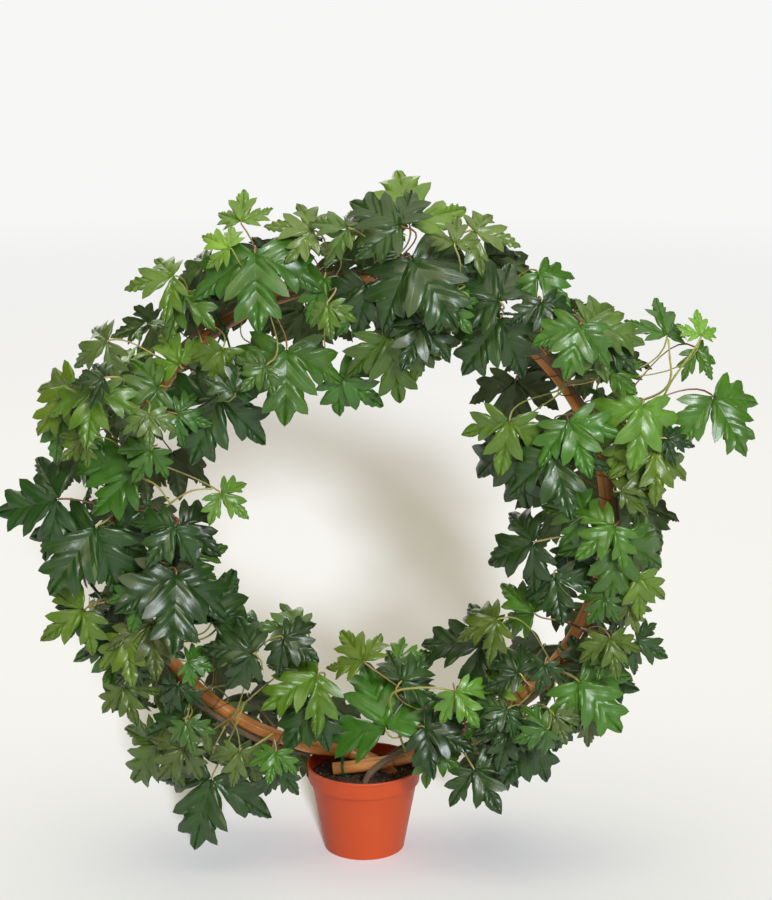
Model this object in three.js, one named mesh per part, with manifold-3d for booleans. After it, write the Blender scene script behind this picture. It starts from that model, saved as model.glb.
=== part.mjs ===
// A cissus trained round a bent cane hoop, in a small plastic pot.
// Millimetres, +Z up. The origin is the centre of the pot's flat base. The hoop stands in
// the plane y = 0, and the plant's front faces -Y.

import * as THREE from 'three';
import { mergeVertices } from 'three/addons/utils/BufferGeometryUtils.js';
import Module from 'manifold-3d';

const wasm = await Module();
wasm.setup();
const { Manifold, Mesh } = wasm;

const V = (x, y, z) => new THREE.Vector3(x, y, z);
const radians = THREE.MathUtils.degToRad;
const clamp = THREE.MathUtils.clamp;

// Pot and soil
const POT = {
  rimRadius: 70, bandFoot: 68, bandHeight: 22, shoulder: 65, baseRadius: 49.5, height: 108,
  wall: 2, floor: 2.4, sides: 24,
};
const DRAIN = { count: 6, ring: 32, radius: 4.5 };
const SOIL = { rim: 93.2, dome: 1.2, bump: 0.7, sides: 16 };
const CLEARANCE = 0.35;

// Hoop
const CANE_RADIUS = 8;
const HOOP = { radius: 292, centreZ: 414, sides: 8, steps: 46 };
const CANE_TAIL = [V(52, 9, 68), V(40, 9, 83), V(22, 9, 100), V(-3, 9, 113.5), V(-30, 7, 121)];
const CANE_FRONT = [
  V(91, -9, 132.5), V(62, -10.5, 122.5), V(30, -11.5, 114), V(0, -12, 109), V(-38, -12, 104.5),
];

// Main stems: clock angle on the hoop and the side of the cane they lie on, both in degrees.
// Side 0 is outside the ring, 90 its front, 180 inside the ring and 270 its back.
const VINE = { radius: 4, offset: 13.1, sides: 5, step: 32 };
const VINES = [
  {
    name: 'vine_right',
    foot: [V(1, -32, 66), V(2, -32, 97), V(15, -30, 113), V(36, -27, 127), V(64, -22, 139)],
    lay: [[-68, 118], [-56, 70], [-40, 45], [-20, 28], [10, 40], [40, 68], [70, 92], [100, 98], [128, 85]],
  },
  {
    name: 'vine_left',
    foot: [V(-20, 30, 66), V(-22, 30, 97), V(-42, 24, 113), V(-78, 12, 117.5)],
    lay: [[249, 4], [236, 18], [215, 40], [188, 68], [160, 44], [135, 18], [110, 4], [84, 6], [60, 4]],
  },
  {
    name: 'vine_back_right',
    foot: [V(26, 33, 66), V(28, 33, 97), V(48, 27, 117), V(72, 16, 131)],
    lay: [[-71, 305], [-52, 258], [-25, 268], [10, 300], [45, 280], [75, 250], [104, 262]],
  },
  {
    name: 'vine_back_left',
    foot: [V(-8, 46, 66), V(-10, 46, 97), V(-34, 38, 117), V(-66, 24, 131)],
    lay: [[254, 280], [236, 290], [208, 262], [180, 248], [150, 280], [109, 285]],
  },
];

// Ties
const TIE = { wall: 1.1, width: 3.2, slack: 0.75, corners: 10, reach: 22, clear: 4 };
const TIE_ANGLES = [['tie_top_left', 124], ['tie_right', -33], ['tie_left', 199], ['tie_top_right', 52]];
const POT_TIE = V(-26, -2, 114);

// Leaves. Hub places were judged on the upright plane READ_Y, seen from VIEWPOINT.
const VIEWPOINT = V(27, -2495, 1110);
const READ_Y = -60;
const BLADE = {
  thickness: 0.8, hub: 1.7, fold: 0.15, spread: 60, lateral: 0.86, notch: [3.6, 2.1],
};
const STALK = { width: 2.2, height: 1.8, back: 2.4, long: 60, handle: 0.3, lift: 0.2 };
// How a leaf is laid. Where a value has two numbers, the second is what the last of its tries adds.
const LAY = {
  depth: 34, bow: 56, bowReach: 130, shallow: 27, deep: 122, deepBack: 112, shift: [12, 80],
  turn: [6, 26], face: 0.8, rise: 0.4, outward: 0.32, outwardReach: 90, shake: [0.3, 0.5], lean: 0.85,
  shrink: 0.22, bend: [0.25, 0.55], spread: 16, droop: [0.1, 0.3], slide: 0.7, sway: 0.9,
};
const FULL_CUT_LEAF = 75;
const TRIES = 120;
const MIN_GAP = 0.4;
const SEAT_GAP = 0.2;
const RING_OPENING = { min: V(-132, -200, 378), max: V(100, 200, 522) };
const LOWEST_LEAF = 4;

// Each leaf: x and z of its hub, the way its middle leaflet points as seen from the front
// (0 right, 90 up), that leaflet's length, and its tone: dark, mid, light, olive or grey.
const FRONT_LEAVES = [
  [-215, 188, 200, 55, 'D'], [-244, 156, 232, 75, 'O'], [-183, 113, 255, 95, 'D'],
  [404, 583, 305, 75, 'M'], [-355, 460, 195, 85, 'D'], [-312, 427, 240, 90, 'D'],
  [54, 780, 100, 80, 'L'], [45, 780, 145, 80, 'D'], [256, 236, 318, 76, 'M'],
  [271, 245, 50, 75, 'D'], [27, 175, 112, 80, 'M'], [-234, 215, 45, 80, 'M'],
  [-330, 600, 228, 75, 'O'], [-292, 648, 205, 58, 'G'], [-345, 565, 255, 60, 'M'],
  [-180, 308, 65, 70, 'D'], [255, 668, 350, 80, 'G'], [125, 775, 350, 60, 'G'],
  [-87, 640, 268, 85, 'M'], [-28, 608, 325, 68, 'M'], [-165, 583, 243, 90, 'D'],
  [202, 408, 205, 73, 'D'], [175, 530, 280, 85, 'D'], [220, 515, 285, 70, 'D'],
  [300, 415, 262, 80, 'M'], [280, 432, 15, 80, 'M'], [158, 693, 135, 80, 'D'],
  [159, 676, 235, 85, 'D'], [55, 743, 310, 80, 'D'], [30, 655, 272, 88, 'O'],
  [70, 655, 270, 70, 'O'], [105, 650, 268, 65, 'O'], [28, 740, 200, 70, 'D'],
  [5, 715, 255, 65, 'D'], [-122, 751, 278, 77, 'M'], [-215, 723, 190, 60, 'O'],
  [-202, 703, 250, 62, 'M'], [-175, 738, 205, 55, 'G'], [-210, 620, 119, 55, 'L'],
  [-233, 595, 178, 63, 'M'], [-310, 590, 265, 60, 'O'], [-260, 568, 235, 55, 'G'],
  [-266, 491, 165, 85, 'M'], [-292, 430, 300, 78, 'D'], [-220, 428, 235, 55, 'D'],
  [-215, 430, 338, 63, 'D'], [-220, 370, 272, 80, 'D'], [-250, 310, 280, 60, 'G'],
  [-330, 325, 215, 65, 'O'], [-285, 306, 205, 65, 'D'], [-287, 293, 265, 70, 'M'],
  [-173, 300, 5, 75, 'M'], [-72, 300, 165, 60, 'G'], [-96, 291, 322, 60, 'D'],
  [-130, 270, 170, 70, 'D'], [-53, 245, 205, 75, 'O'], [-60, 205, 240, 65, 'D'],
  [72, 178, 340, 65, 'D'], [79, 153, 322, 55, 'M'], [5, 258, 38, 60, 'O'],
  [1, 260, 135, 55, 'O'], [145, 285, 185, 80, 'D'], [160, 313, 190, 60, 'O'],
  [200, 163, 235, 65, 'D'], [237, 193, 262, 58, 'D'], [203, 320, 150, 55, 'M'],
  [225, 366, 282, 55, 'D'], [242, 403, 300, 57, 'D'], [295, 428, 215, 55, 'M'],
  [315, 415, 305, 70, 'M'], [260, 440, 170, 55, 'M'], [170, 555, 255, 70, 'O'],
  [238, 555, 290, 65, 'M'], [340, 520, 275, 60, 'M'], [325, 575, 265, 70, 'L'],
  [310, 535, 240, 55, 'L'], [250, 668, 245, 75, 'M'], [185, 730, 30, 65, 'L'],
  [200, 728, 322, 55, 'M'], [-43, 722, 240, 60, 'M'], [-55, 775, 165, 60, 'G'],
  [-15, 778, 175, 55, 'G'], [349, 654, 95, 47, 'M'], [383, 639, 310, 40, 'M'],
  [-137, 785, 85, 40, 'L'], [-200, 389, 10, 48, 'M'], [-166, 468, 325, 46, 'L'],
  [110, 223, 295, 48, 'L'], [156, 218, 100, 50, 'L'],
];
const BACK = {
  leaves: 34, clock: [-84, 264], length: [60, 80], reach: [-48, 66], depth: [38, 92],
  hang: 0.75, outward: 0.6,
};
const FRONT_SHOOTS = { count: 26, first: -62, last: 248, change: 125 };
const BACK_SHOOTS = { count: 18, first: -68, last: 247, change: 106 };
const SHOOT = { width: 3.4, steps: 2, lean: 50, reach: 0.5, bow: 0.45, firstLeaf: 0.97, leaves: 0.6 };

const TONES = {
  D: '#2f5138', M: '#3f7232', L: '#7ca45a', O: '#5c7526', G: '#5b6b55',
};

// Repeatable draws from 0 to 1
function draws(seed) {
  let state = (seed * 2654435 + 97531) >>> 0;
  return () => {
    state = (Math.imul(state, 1664525) + 1013904223) >>> 0;
    return state / 4294967296;
  };
}

// Solids and meshes
function solid(geometry) {
  const bare = new THREE.BufferGeometry();
  bare.setAttribute('position', geometry.attributes.position.clone());
  if (geometry.index) bare.setIndex(geometry.index.clone());
  const merged = mergeVertices(bare, 1e-3);
  return new Manifold(new Mesh({
    numProp: 3,
    vertProperties: new Float32Array(merged.attributes.position.array),
    triVerts: new Uint32Array(merged.index.array),
  }));
}

function part(name, body, colour, roughness) {
  const mesh = body.getMesh();
  const geometry = new THREE.BufferGeometry();
  geometry.setAttribute('position', new THREE.BufferAttribute(mesh.vertProperties, 3));
  geometry.setIndex(new THREE.BufferAttribute(mesh.triVerts, 1));
  geometry.computeVertexNormals();
  const material = new THREE.MeshStandardMaterial({ color: colour, roughness, metalness: 0 });
  const piece = new THREE.Mesh(geometry, material);
  piece.name = name;
  return piece;
}

function tube(curve, radius, sides, steps) {
  const section = new THREE.Shape(Array.from({ length: sides }, (_, i) => {
    const turn = (i / sides) * 2 * Math.PI;
    return new THREE.Vector2(radius * Math.cos(turn), radius * Math.sin(turn));
  }));
  const geometry = new THREE.ExtrudeGeometry(section, { steps, bevelEnabled: false, extrudePath: curve });
  return solid(geometry);
}

function turned(profile, sides, reshape) {
  const points = profile.map(([r, z]) => new THREE.Vector2(r, z));
  const geometry = new THREE.LatheGeometry(points, sides);
  geometry.rotateX(Math.PI / 2);
  if (reshape) reshape(geometry.attributes.position);
  return solid(geometry);
}

// Things already placed, which every later piece keeps clear of
const placed = [];
function place(body, owner) {
  const box = body.boundingBox();
  placed.push({ body, owner, min: box.min, max: box.max });
}
function clears(body, gap, skipped) {
  const { min, max } = body.boundingBox();
  const near = placed.filter(other => other !== skipped && [0, 1, 2].every(
    i => other.min[i] - gap < max[i] && other.max[i] + gap > min[i]));
  return near.every(other => body.minGap(other.body, gap) >= gap);
}

// Pot
function makePot() {
  const { rimRadius, bandFoot, bandHeight, shoulder, baseRadius, height, wall, floor, sides } = POT;
  const step = height - bandHeight;
  const body = turned([
    [0, 0], [baseRadius, 0], [shoulder, step], [bandFoot, step + 1.5], [rimRadius, height],
    [rimRadius - wall - 0.6, height], [shoulder - wall, step - 2], [baseRadius - wall, floor], [0, floor],
  ], sides);
  const holes = Array.from({ length: DRAIN.count }, (_, i) => {
    const turn = (i / DRAIN.count) * 2 * Math.PI;
    const hole = new THREE.CylinderGeometry(DRAIN.radius, DRAIN.radius, 4 * floor, 8);
    hole.rotateX(Math.PI / 2);
    hole.translate(DRAIN.ring * Math.cos(turn), DRAIN.ring * Math.sin(turn), 0);
    return solid(hole);
  });
  return holes.reduce((pot, hole) => pot.subtract(hole), body);
}

// Inner radius of the pot at a height
function potInside(z) {
  const { shoulder, baseRadius, wall, floor, height, bandHeight } = POT;
  const top = height - bandHeight - 2;
  if (z <= top) return THREE.MathUtils.mapLinear(z, floor, top, baseRadius - wall, shoulder - wall);
  return THREE.MathUtils.mapLinear(z, top, height, shoulder - wall, POT.rimRadius - wall - 0.6);
}

function makeSoil(pressed) {
  const foot = POT.floor + CLEARANCE;
  const bend = POT.height - POT.bandHeight - 2;
  const inside = z => potInside(z) * Math.cos(Math.PI / POT.sides) - CLEARANCE;
  const body = turned([
    [0, foot], [inside(foot), foot], [inside(bend), bend], [inside(SOIL.rim), SOIL.rim],
    [46, SOIL.rim + SOIL.dome * 0.6], [26, SOIL.rim + SOIL.dome], [0, SOIL.rim + SOIL.dome],
  ], SOIL.sides, position => {
    for (let i = 0; i < position.count; i++) {
      const [x, y, z] = [position.getX(i), position.getY(i), position.getZ(i)];
      const free = z > SOIL.rim + 0.01 ? 1 : 0;
      position.setZ(i, z + free * SOIL.bump * Math.sin(0.21 * x + 1) * Math.cos(0.17 * y));
    }
  });
  return pressed.reduce((soil, stem) => soil.subtract(stem), body);
}

// Hoop: the tail end in the soil, round the ring against the clock's sense, to the front end
const ringPoint = angle => V(
  HOOP.radius * Math.cos(radians(angle)), 0, HOOP.centreZ + HOOP.radius * Math.sin(radians(angle)));

function hoopCurve() {
  const ring = Array.from({ length: 22 }, (_, i) => ringPoint(256 - (i * 324) / 21));
  return new THREE.CatmullRomCurve3([...CANE_TAIL, ...ring, ...CANE_FRONT], false, 'centripetal');
}
const HOOP_CURVE = hoopCurve();
const HOOP_LINE = HOOP_CURVE.getSpacedPoints(HOOP.steps);
const CANE_SAMPLES = caneSamples(HOOP_LINE, 16);

// Points along the cane's middle line, each with its clock angle, which falls steadily from the
// tail to the front end
function caneSamples(line, perStep) {
  let last = 285;
  return Array.from({ length: (line.length - 1) * perStep + 1 }, (_, i) => {
    const at = Math.min(Math.floor(i / perStep), line.length - 2);
    const point = line[at].clone().lerp(line[at + 1], i / perStep - at);
    let angle = THREE.MathUtils.radToDeg(Math.atan2(point.z - HOOP.centreZ, point.x));
    while (angle < last - 180) angle += 360;
    while (angle > last + 180) angle -= 360;
    last = angle;
    return { point, angle };
  });
}

// Centre of the cane at a clock angle, with its outward, front and running directions
function caneAt(angle) {
  const next = clamp(CANE_SAMPLES.findIndex(sample => sample.angle <= angle), 1, CANE_SAMPLES.length - 1);
  const [a, b] = [CANE_SAMPLES[next - 1], CANE_SAMPLES[next]];
  const centre = a.point.clone().lerp(b.point, (a.angle - angle) / (a.angle - b.angle));
  const along = b.point.clone().sub(a.point).normalize();
  const out = V(centre.x, 0, centre.z - HOOP.centreZ).normalize();
  out.addScaledVector(along, -out.dot(along)).normalize();
  const front = V(0, -1, 0);
  front.addScaledVector(along, -front.dot(along)).normalize();
  return { centre, out, front, along };
}

function sideDirection(cane, side) {
  return cane.out.clone().multiplyScalar(Math.cos(radians(side)))
    .addScaledVector(cane.front, Math.sin(radians(side)));
}

// Side of the cane on which a main stem lies at a clock angle
function sideAt(vine, angle) {
  const lay = vine.lay;
  const rising = lay[0][0] < lay[1][0];
  const index = clamp(lay.findIndex(([a]) => (rising ? a >= angle : a <= angle)), 1, lay.length - 1);
  const [[a0, s0], [a1, s1]] = [lay[index - 1], lay[index]];
  return THREE.MathUtils.mapLinear(clamp(angle, Math.min(a0, a1), Math.max(a0, a1)), a0, a1, s0, s1);
}

function vinePoint(vine, angle) {
  const cane = caneAt(angle);
  return cane.centre.addScaledVector(sideDirection(cane, sideAt(vine, angle)), VINE.offset);
}

function vineCurve(vine) {
  const first = vine.lay[0][0];
  const last = vine.lay[vine.lay.length - 1][0];
  const count = Math.round(Math.abs(last - first) / 6);
  const angles = Array.from({ length: count + 1 }, (_, i) => first + ((last - first) * i) / count);
  const points = [...vine.foot, ...angles.map(angle => vinePoint(vine, angle))];
  return new THREE.CatmullRomCurve3(points, false, 'centripetal');
}

// Ties: the taut outline round every stem and cane in one section, made into a flat band
function outlineRound(circles, grow) {
  const points = circles.flatMap(({ x, y, radius }) => Array.from({ length: TIE.corners }, (_, i) => {
    const turn = (i / TIE.corners) * 2 * Math.PI;
    const reach = (radius + grow) / Math.cos(Math.PI / TIE.corners);
    return new THREE.Vector2(x + reach * Math.cos(turn), y + reach * Math.sin(turn));
  }));
  points.sort((a, b) => a.x - b.x || a.y - b.y);
  const half = list => list.reduce((hull, p) => {
    while (hull.length > 1) {
      const [a, b] = hull.slice(-2);
      if ((b.x - a.x) * (p.y - a.y) - (b.y - a.y) * (p.x - a.x) > 0) break;
      hull.pop();
    }
    hull.push(p);
    return hull;
  }, []);
  return [...half(points).slice(0, -1), ...half(points.slice().reverse()).slice(0, -1)];
}

// A tie in the plane through a place, square to the given way, round all that crosses it there
function makeTie(centre, xWay, yWay, lines) {
  const normal = xWay.clone().cross(yWay);
  const circles = [];
  for (const { line, radius } of lines) {
    for (let i = 1; i < line.length; i++) {
      const [a, b] = [line[i - 1], line[i]].map(point => point.clone().sub(centre));
      if (a.dot(normal) * b.dot(normal) > 0) continue;
      const cross = a.clone().lerp(b, a.dot(normal) / (a.dot(normal) - b.dot(normal)));
      if (cross.length() > TIE.reach) continue;
      const slant = Math.abs(b.clone().sub(a).normalize().dot(normal));
      circles.push({ x: cross.dot(xWay), y: cross.dot(yWay), radius: radius / slant });
    }
  }
  const band = new THREE.Shape(outlineRound(circles, TIE.slack + TIE.wall));
  band.holes.push(new THREE.Path(outlineRound(circles, TIE.slack)));
  const geometry = new THREE.ExtrudeGeometry(band, { depth: TIE.width, bevelEnabled: false });
  geometry.translate(0, 0, -TIE.width / 2);
  geometry.applyMatrix4(new THREE.Matrix4().makeBasis(xWay, yWay, normal).setPosition(centre));
  return solid(geometry);
}

// One cut leaflet as half outlines in units of its length, from base to tip
const MIDDLE_FULL = [[0.52, 0.36], [0.52, 0.20], [0.80, 0.28], [0.78, 0.11]];
const MIDDLE_SIMPLE = [[0.56, 0.36], [0.62, 0.15]];
const OUTER = [[0.27, 0.43], [0.33, 0.20], [0.64, 0.35]];
const INNER = [[0.66, 0.20]];

// A leaf's place: where its hub lies and which way its blade points, faces and leans
function leafPose(leaf, attempt) {
  const [x, z, aimAngle, length] = leaf.row;
  const rnd = draws(leaf.seed * 977 + attempt * 131);
  const loose = attempt / TRIES;
  const away = Math.hypot(x, z - HOOP.centreZ) - HOOP.radius;
  const drawn = ([tight, added]) => (rnd() - 0.5) * (tight + added * loose);
  const bow = Math.sqrt(Math.max(0, 1 - (away / LAY.bowReach) ** 2));
  const shift = drawn(LAY.shift);
  const depth = leaf.back ? clamp(leaf.depth + shift, LAY.shallow, LAY.deepBack)
    : clamp(LAY.depth + LAY.bow * bow + shift, LAY.shallow, LAY.deep);
  const turn = radians(aimAngle + drawn(LAY.turn));
  const flatAim = V(Math.cos(turn), 0, Math.sin(turn));
  const radial = V(x, 0, z - HOOP.centreZ).normalize();
  const facing = leaf.back ? 1 : -1;
  const outward = LAY.outward * clamp(away / LAY.outwardReach, -1, 1);
  const normal = V(0, LAY.face * facing, LAY.rise).addScaledVector(radial, outward)
    .add(V(drawn(LAY.shake), 0, drawn(LAY.shake))).normalize();
  const lean = clamp(-flatAim.dot(normal) / normal.y, -LAY.lean, LAY.lean);
  const aim = flatAim.clone().setY(lean).normalize();
  normal.addScaledVector(aim, -normal.dot(aim)).normalize();
  const side = normal.clone().cross(aim);
  const read = V(x, READ_Y, z);
  let hub = V(x, depth, z);
  let scale = 1;
  if (!leaf.back) {
    scale = (-depth - VIEWPOINT.y) / (READ_Y - VIEWPOINT.y);
    hub = VIEWPOINT.clone().addScaledVector(read.sub(VIEWPOINT), scale);
  }
  const size = length * scale * Math.sqrt(1 + lean * lean) * (1 - LAY.shrink * loose * rnd());
  const bend = LAY.bend[0] + LAY.bend[1] * rnd();
  const spread = BLADE.spread + (rnd() - 0.5) * LAY.spread;
  const droop = LAY.droop[0] + LAY.droop[1] * rnd();
  const slide = (rnd() - 0.5) * LAY.slide * loose;
  const sway = (rnd() - 0.5) * LAY.sway * loose;
  return { hub, aim, normal, side, size, bend, spread, droop, slide, sway };
}

// A point of a leaflet: u along it and v across it, in units of its length
function onLeaflet(pose, turn, length, slope, u, v) {
  const along = pose.aim.clone().multiplyScalar(Math.cos(turn)).addScaledVector(pose.side, Math.sin(turn));
  const across = pose.side.clone().multiplyScalar(Math.cos(turn)).addScaledVector(pose.aim, -Math.sin(turn));
  const curl = pose.bend * u;
  const reach = (Math.sin(curl) / pose.bend) * length;
  const rise = BLADE.fold * Math.abs(v) * length - ((1 - Math.cos(curl)) / pose.bend) * length
    - slope * u * length;
  const up = pose.normal.clone().multiplyScalar(Math.cos(curl)).addScaledVector(along, Math.sin(curl));
  const point = pose.hub.clone().addScaledVector(along, reach).addScaledVector(across, v * length)
    .addScaledVector(pose.normal, rise);
  return { point, up };
}

// The flat pattern of a leaf: its points and the half leaflets that they bound
function leafPattern(full) {
  const spots = [];
  const add = (leaflet, u, v) => spots.push({ leaflet, u, v }) - 1;
  const hub = add('hub', 0, 0);
  const stalk = [add('stalk', -1, -1), add('stalk', -1, 1)];
  const notch = [add('notch', 1, -1), add('notch', 1, 1)];
  const middle = full ? MIDDLE_FULL : MIDDLE_SIMPLE;
  const right = middle.map(([u, v]) => add('middle', u, -v));
  const tip = add('middle', 1, 0);
  const left = middle.map(([u, v]) => add('middle', u, v)).reverse();
  const lateral = sense => ({
    outer: OUTER.map(([u, v]) => add(sense < 0 ? 'right' : 'left', u, sense * v)),
    tip: add(sense < 0 ? 'right' : 'left', 1, 0),
    inner: INNER.map(([u, v]) => add(sense < 0 ? 'right' : 'left', u, -sense * v)).reverse(),
  });
  const [r, l] = [lateral(-1), lateral(1)];
  const halves = [
    [hub, notch[0], ...right, tip], [hub, tip, ...left, notch[1]],
    [hub, stalk[0], ...r.outer, r.tip], [hub, r.tip, ...r.inner, notch[0]],
    [hub, notch[1], ...l.inner.slice().reverse(), l.tip],
    [hub, l.tip, ...l.outer.slice().reverse(), stalk[1]],
    [hub, stalk[1], stalk[0]],
  ];
  const rim = [stalk[0], ...r.outer, r.tip, ...r.inner, notch[0], ...right, tip, ...left, notch[1],
    ...l.inner.slice().reverse(), l.tip, ...l.outer.slice().reverse(), stalk[1]];
  return { spots, halves, rim, stalk };
}
const PATTERNS = { full: leafPattern(true), simple: leafPattern(false) };

// Flat places of a pattern's spots, used to split the halves into triangles
function flatSpot({ leaflet, u, v }) {
  const turns = { middle: 0, left: radians(BLADE.spread), right: -radians(BLADE.spread) };
  if (leaflet === 'hub') return new THREE.Vector2(0, 0);
  if (leaflet === 'stalk') return new THREE.Vector2(-0.03, 0.015 * v);
  if (leaflet === 'notch') return new THREE.Vector2(0.035, 0.015 * v);
  return new THREE.Vector2(u, v).rotateAround(new THREE.Vector2(), turns[leaflet]);
}
for (const pattern of Object.values(PATTERNS)) {
  const flat = pattern.spots.map(flatSpot);
  pattern.faces = pattern.halves.flatMap(half => THREE.ShapeUtils
    .triangulateShape(half.map(i => flat[i]), []).map(face => face.map(i => half[i])));
}

// Places of a leaf's spots on its upper and lower face
function leafSpots(pose, pattern) {
  const lateral = BLADE.lateral * pose.size;
  const turn = radians(pose.spread);
  return pattern.spots.map(({ leaflet, u, v }) => {
    const frame = {
      middle: [0, pose.size, 0], left: [turn, lateral, pose.droop], right: [-turn, lateral, pose.droop],
    }[leaflet];
    let point = pose.hub.clone();
    let up = pose.normal;
    let half = BLADE.thickness / 2;
    if (frame) ({ point, up } = onLeaflet(pose, ...frame, u, v));
    if (leaflet === 'stalk') {
      point.addScaledVector(pose.aim, -STALK.back).addScaledVector(pose.side, (v * STALK.width) / 2);
      half = STALK.height / 2;
    }
    if (leaflet === 'notch') {
      const [forward, aside] = BLADE.notch;
      point.addScaledVector(pose.aim, forward).addScaledVector(pose.side, v * aside);
    }
    if (leaflet === 'hub') half = BLADE.hub / 2;
    const [upper, lower] = [half, -half].map(lift => point.clone().addScaledVector(up, lift));
    return { upper, lower };
  });
}

// A leaf as one closed thin body: blade, hub and stalk, the stalk starting at the given root.
// The first leaf of a shoot takes the shoot's stem with it, as its sections from above to its foot.
function leafBodies(pose, pattern, root, rootWay, stem) {
  const spots = leafSpots(pose, pattern);
  const points = spots.flatMap(({ upper, lower }) => [upper, lower]);
  const faces = pattern.faces.flatMap(([a, b, c]) => [
    [2 * a, 2 * b, 2 * c], [2 * a + 1, 2 * c + 1, 2 * b + 1],
  ]);
  pattern.rim.slice(1).forEach((next, i) => {
    const last = pattern.rim[i];
    faces.push([2 * last, 2 * last + 1, 2 * next + 1], [2 * last, 2 * next + 1, 2 * next]);
  });
  const [right, left] = pattern.stalk;
  const end = [2 * left, 2 * left + 1, 2 * right + 1, 2 * right];
  const blade = closedBody(points, [...faces, [end[0], end[1], end[2]], [end[0], end[2], end[3]]]);

  const neck = pose.hub.clone().addScaledVector(pose.aim, -STALK.back);
  const span = neck.distanceTo(root);
  const handle = STALK.handle * span;
  const leave = neck.clone().sub(root).normalize().addScaledVector(rootWay, STALK.handle).normalize();
  const arrive = neck.clone().addScaledVector(pose.aim, -handle)
    .addScaledVector(pose.normal, -STALK.lift * span).addScaledVector(pose.side, pose.sway * span);
  const curve = new THREE.CubicBezierCurve3(root, root.clone().addScaledVector(leave, handle), arrive, neck);
  const stations = (span < STALK.long ? [0.55, 0] : [0.7, 0.36, 0]).map(t => ({
    centre: curve.getPoint(t), along: curve.getTangent(t), width: STALK.width, height: STALK.height,
  }));
  stem.forEach(({ centre, along }) => stations.push({
    centre, along, width: SHOOT.width, height: SHOOT.width,
  }));
  let ring = end;
  const stalkPoints = end.map(i => points[i]);
  const stalkFaces = [[0, 3, 2], [0, 2, 1]];
  let stalkRing = [0, 1, 2, 3];
  let wide = pose.side.clone();
  for (const { centre, along, width, height } of stations) {
    wide = wide.clone().addScaledVector(along, -wide.dot(along)).normalize();
    const tall = wide.clone().cross(along).multiplyScalar(-height / 2);
    const broad = wide.clone().multiplyScalar(width / 2);
    const corners = [
      broad.clone().add(tall), broad.clone().sub(tall),
      broad.clone().negate().sub(tall), broad.clone().negate().add(tall),
    ].map(corner => corner.add(centre));
    const next = corners.map(corner => points.push(corner) - 1);
    const stalkNext = corners.map(corner => stalkPoints.push(corner) - 1);
    for (let i = 0; i < 4; i++) {
      const j = (i + 1) % 4;
      faces.push([ring[i], ring[j], next[j]], [ring[i], next[j], next[i]]);
      stalkFaces.push([stalkRing[i], stalkRing[j], stalkNext[j]], [stalkRing[i], stalkNext[j], stalkNext[i]]);
    }
    ring = next;
    stalkRing = stalkNext;
  }
  faces.push([ring[0], ring[1], ring[2]], [ring[0], ring[2], ring[3]]);
  stalkFaces.push([stalkRing[0], stalkRing[1], stalkRing[2]], [stalkRing[0], stalkRing[2], stalkRing[3]]);
  return { leaf: closedBody(points, faces), blade, stalk: closedBody(stalkPoints, stalkFaces) };
}

function closedBody(points, faces) {
  const geometry = new THREE.BufferGeometry().setFromPoints(points);
  geometry.setIndex(faces.flat());
  return solid(geometry);
}

// Main pieces
const hoop = tube(HOOP_CURVE, CANE_RADIUS, HOOP.sides, HOOP.steps);
const vines = VINES.map(vine => {
  const curve = vineCurve(vine);
  const steps = Math.round(curve.getLength() / VINE.step);
  return { ...vine, curve, steps, body: tube(curve, VINE.radius, VINE.sides, steps) };
});

// Every stem that stands in the soil leaves a plain hole there, a little wider and deeper
function holeOf(curve, radius, sides, steps) {
  const [foot, ...rest] = curve.points;
  const deeper = foot.clone().addScaledVector(curve.getTangent(0), -2 * CLEARANCE);
  const path = new THREE.CatmullRomCurve3([deeper, ...rest], false, 'centripetal');
  return tube(path, radius + 1.5 * CLEARANCE, sides, steps);
}
const pot = makePot();
const soil = makeSoil([
  holeOf(HOOP_CURVE, CANE_RADIUS, HOOP.sides, HOOP.steps),
  ...vines.map(vine => holeOf(vine.curve, VINE.radius, VINE.sides, vine.steps)),
]);
const tiedLines = [
  { line: HOOP_LINE, radius: CANE_RADIUS },
  ...vines.map(vine => ({ line: vine.curve.getSpacedPoints(vine.steps), radius: VINE.radius })),
];
const ties = [
  ['tie_pot', makeTie(POT_TIE, V(0, 1, 0), V(0, 0, 1), tiedLines)],
  ...TIE_ANGLES.map(([name, angle]) => {
    const { centre, out, front } = caneAt(angle);
    return [name, makeTie(centre, out, front, tiedLines)];
  }),
];
for (const body of [pot, soil, hoop, ...vines.map(vine => vine.body), ...ties.map(([, tie]) => tie)]) {
  place(body);
}

// A shoot whose even place falls on a tie grows just beside it
function besideTies(angle) {
  const tie = TIE_ANGLES.find(([, tieAngle]) => Math.abs(angle - tieAngle) < TIE.clear);
  if (!tie) return angle;
  return tie[1] + (angle < tie[1] ? -TIE.clear : TIE.clear);
}

// Side shoots: each grows from a main stem at its clock angle, towards the middle of its leaves
function makeShoot(name, evenAngle, back) {
  const angle = besideTies(evenAngle);
  const [lookSide, choice] = back ? [270, vines.slice(2)] : [90, vines.slice(0, 2)];
  const vine = choice[angle < (back ? BACK_SHOOTS : FRONT_SHOOTS).change ? 0 : 1];
  const side = sideAt(vine, angle);
  const rootSide = side + clamp(lookSide - side, -SHOOT.lean, SHOOT.lean);
  const cane = caneAt(angle);
  const way = sideDirection(cane, rootSide);
  const root = vinePoint(vine, angle).addScaledVector(way, VINE.radius + CLEARANCE);
  return { name, angle, vine, way, root, leaves: [] };
}

const shootRow = (kind, { count, first, last }, back) => Array.from({ length: count }, (_, i) => makeShoot(
  `shoot_${kind}_${i + 1}`, THREE.MathUtils.mapLinear(i, 0, count - 1, first, last), back));
const frontShoots = shootRow('front', FRONT_SHOOTS, false);
const backShoots = shootRow('back', BACK_SHOOTS, true);

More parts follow.
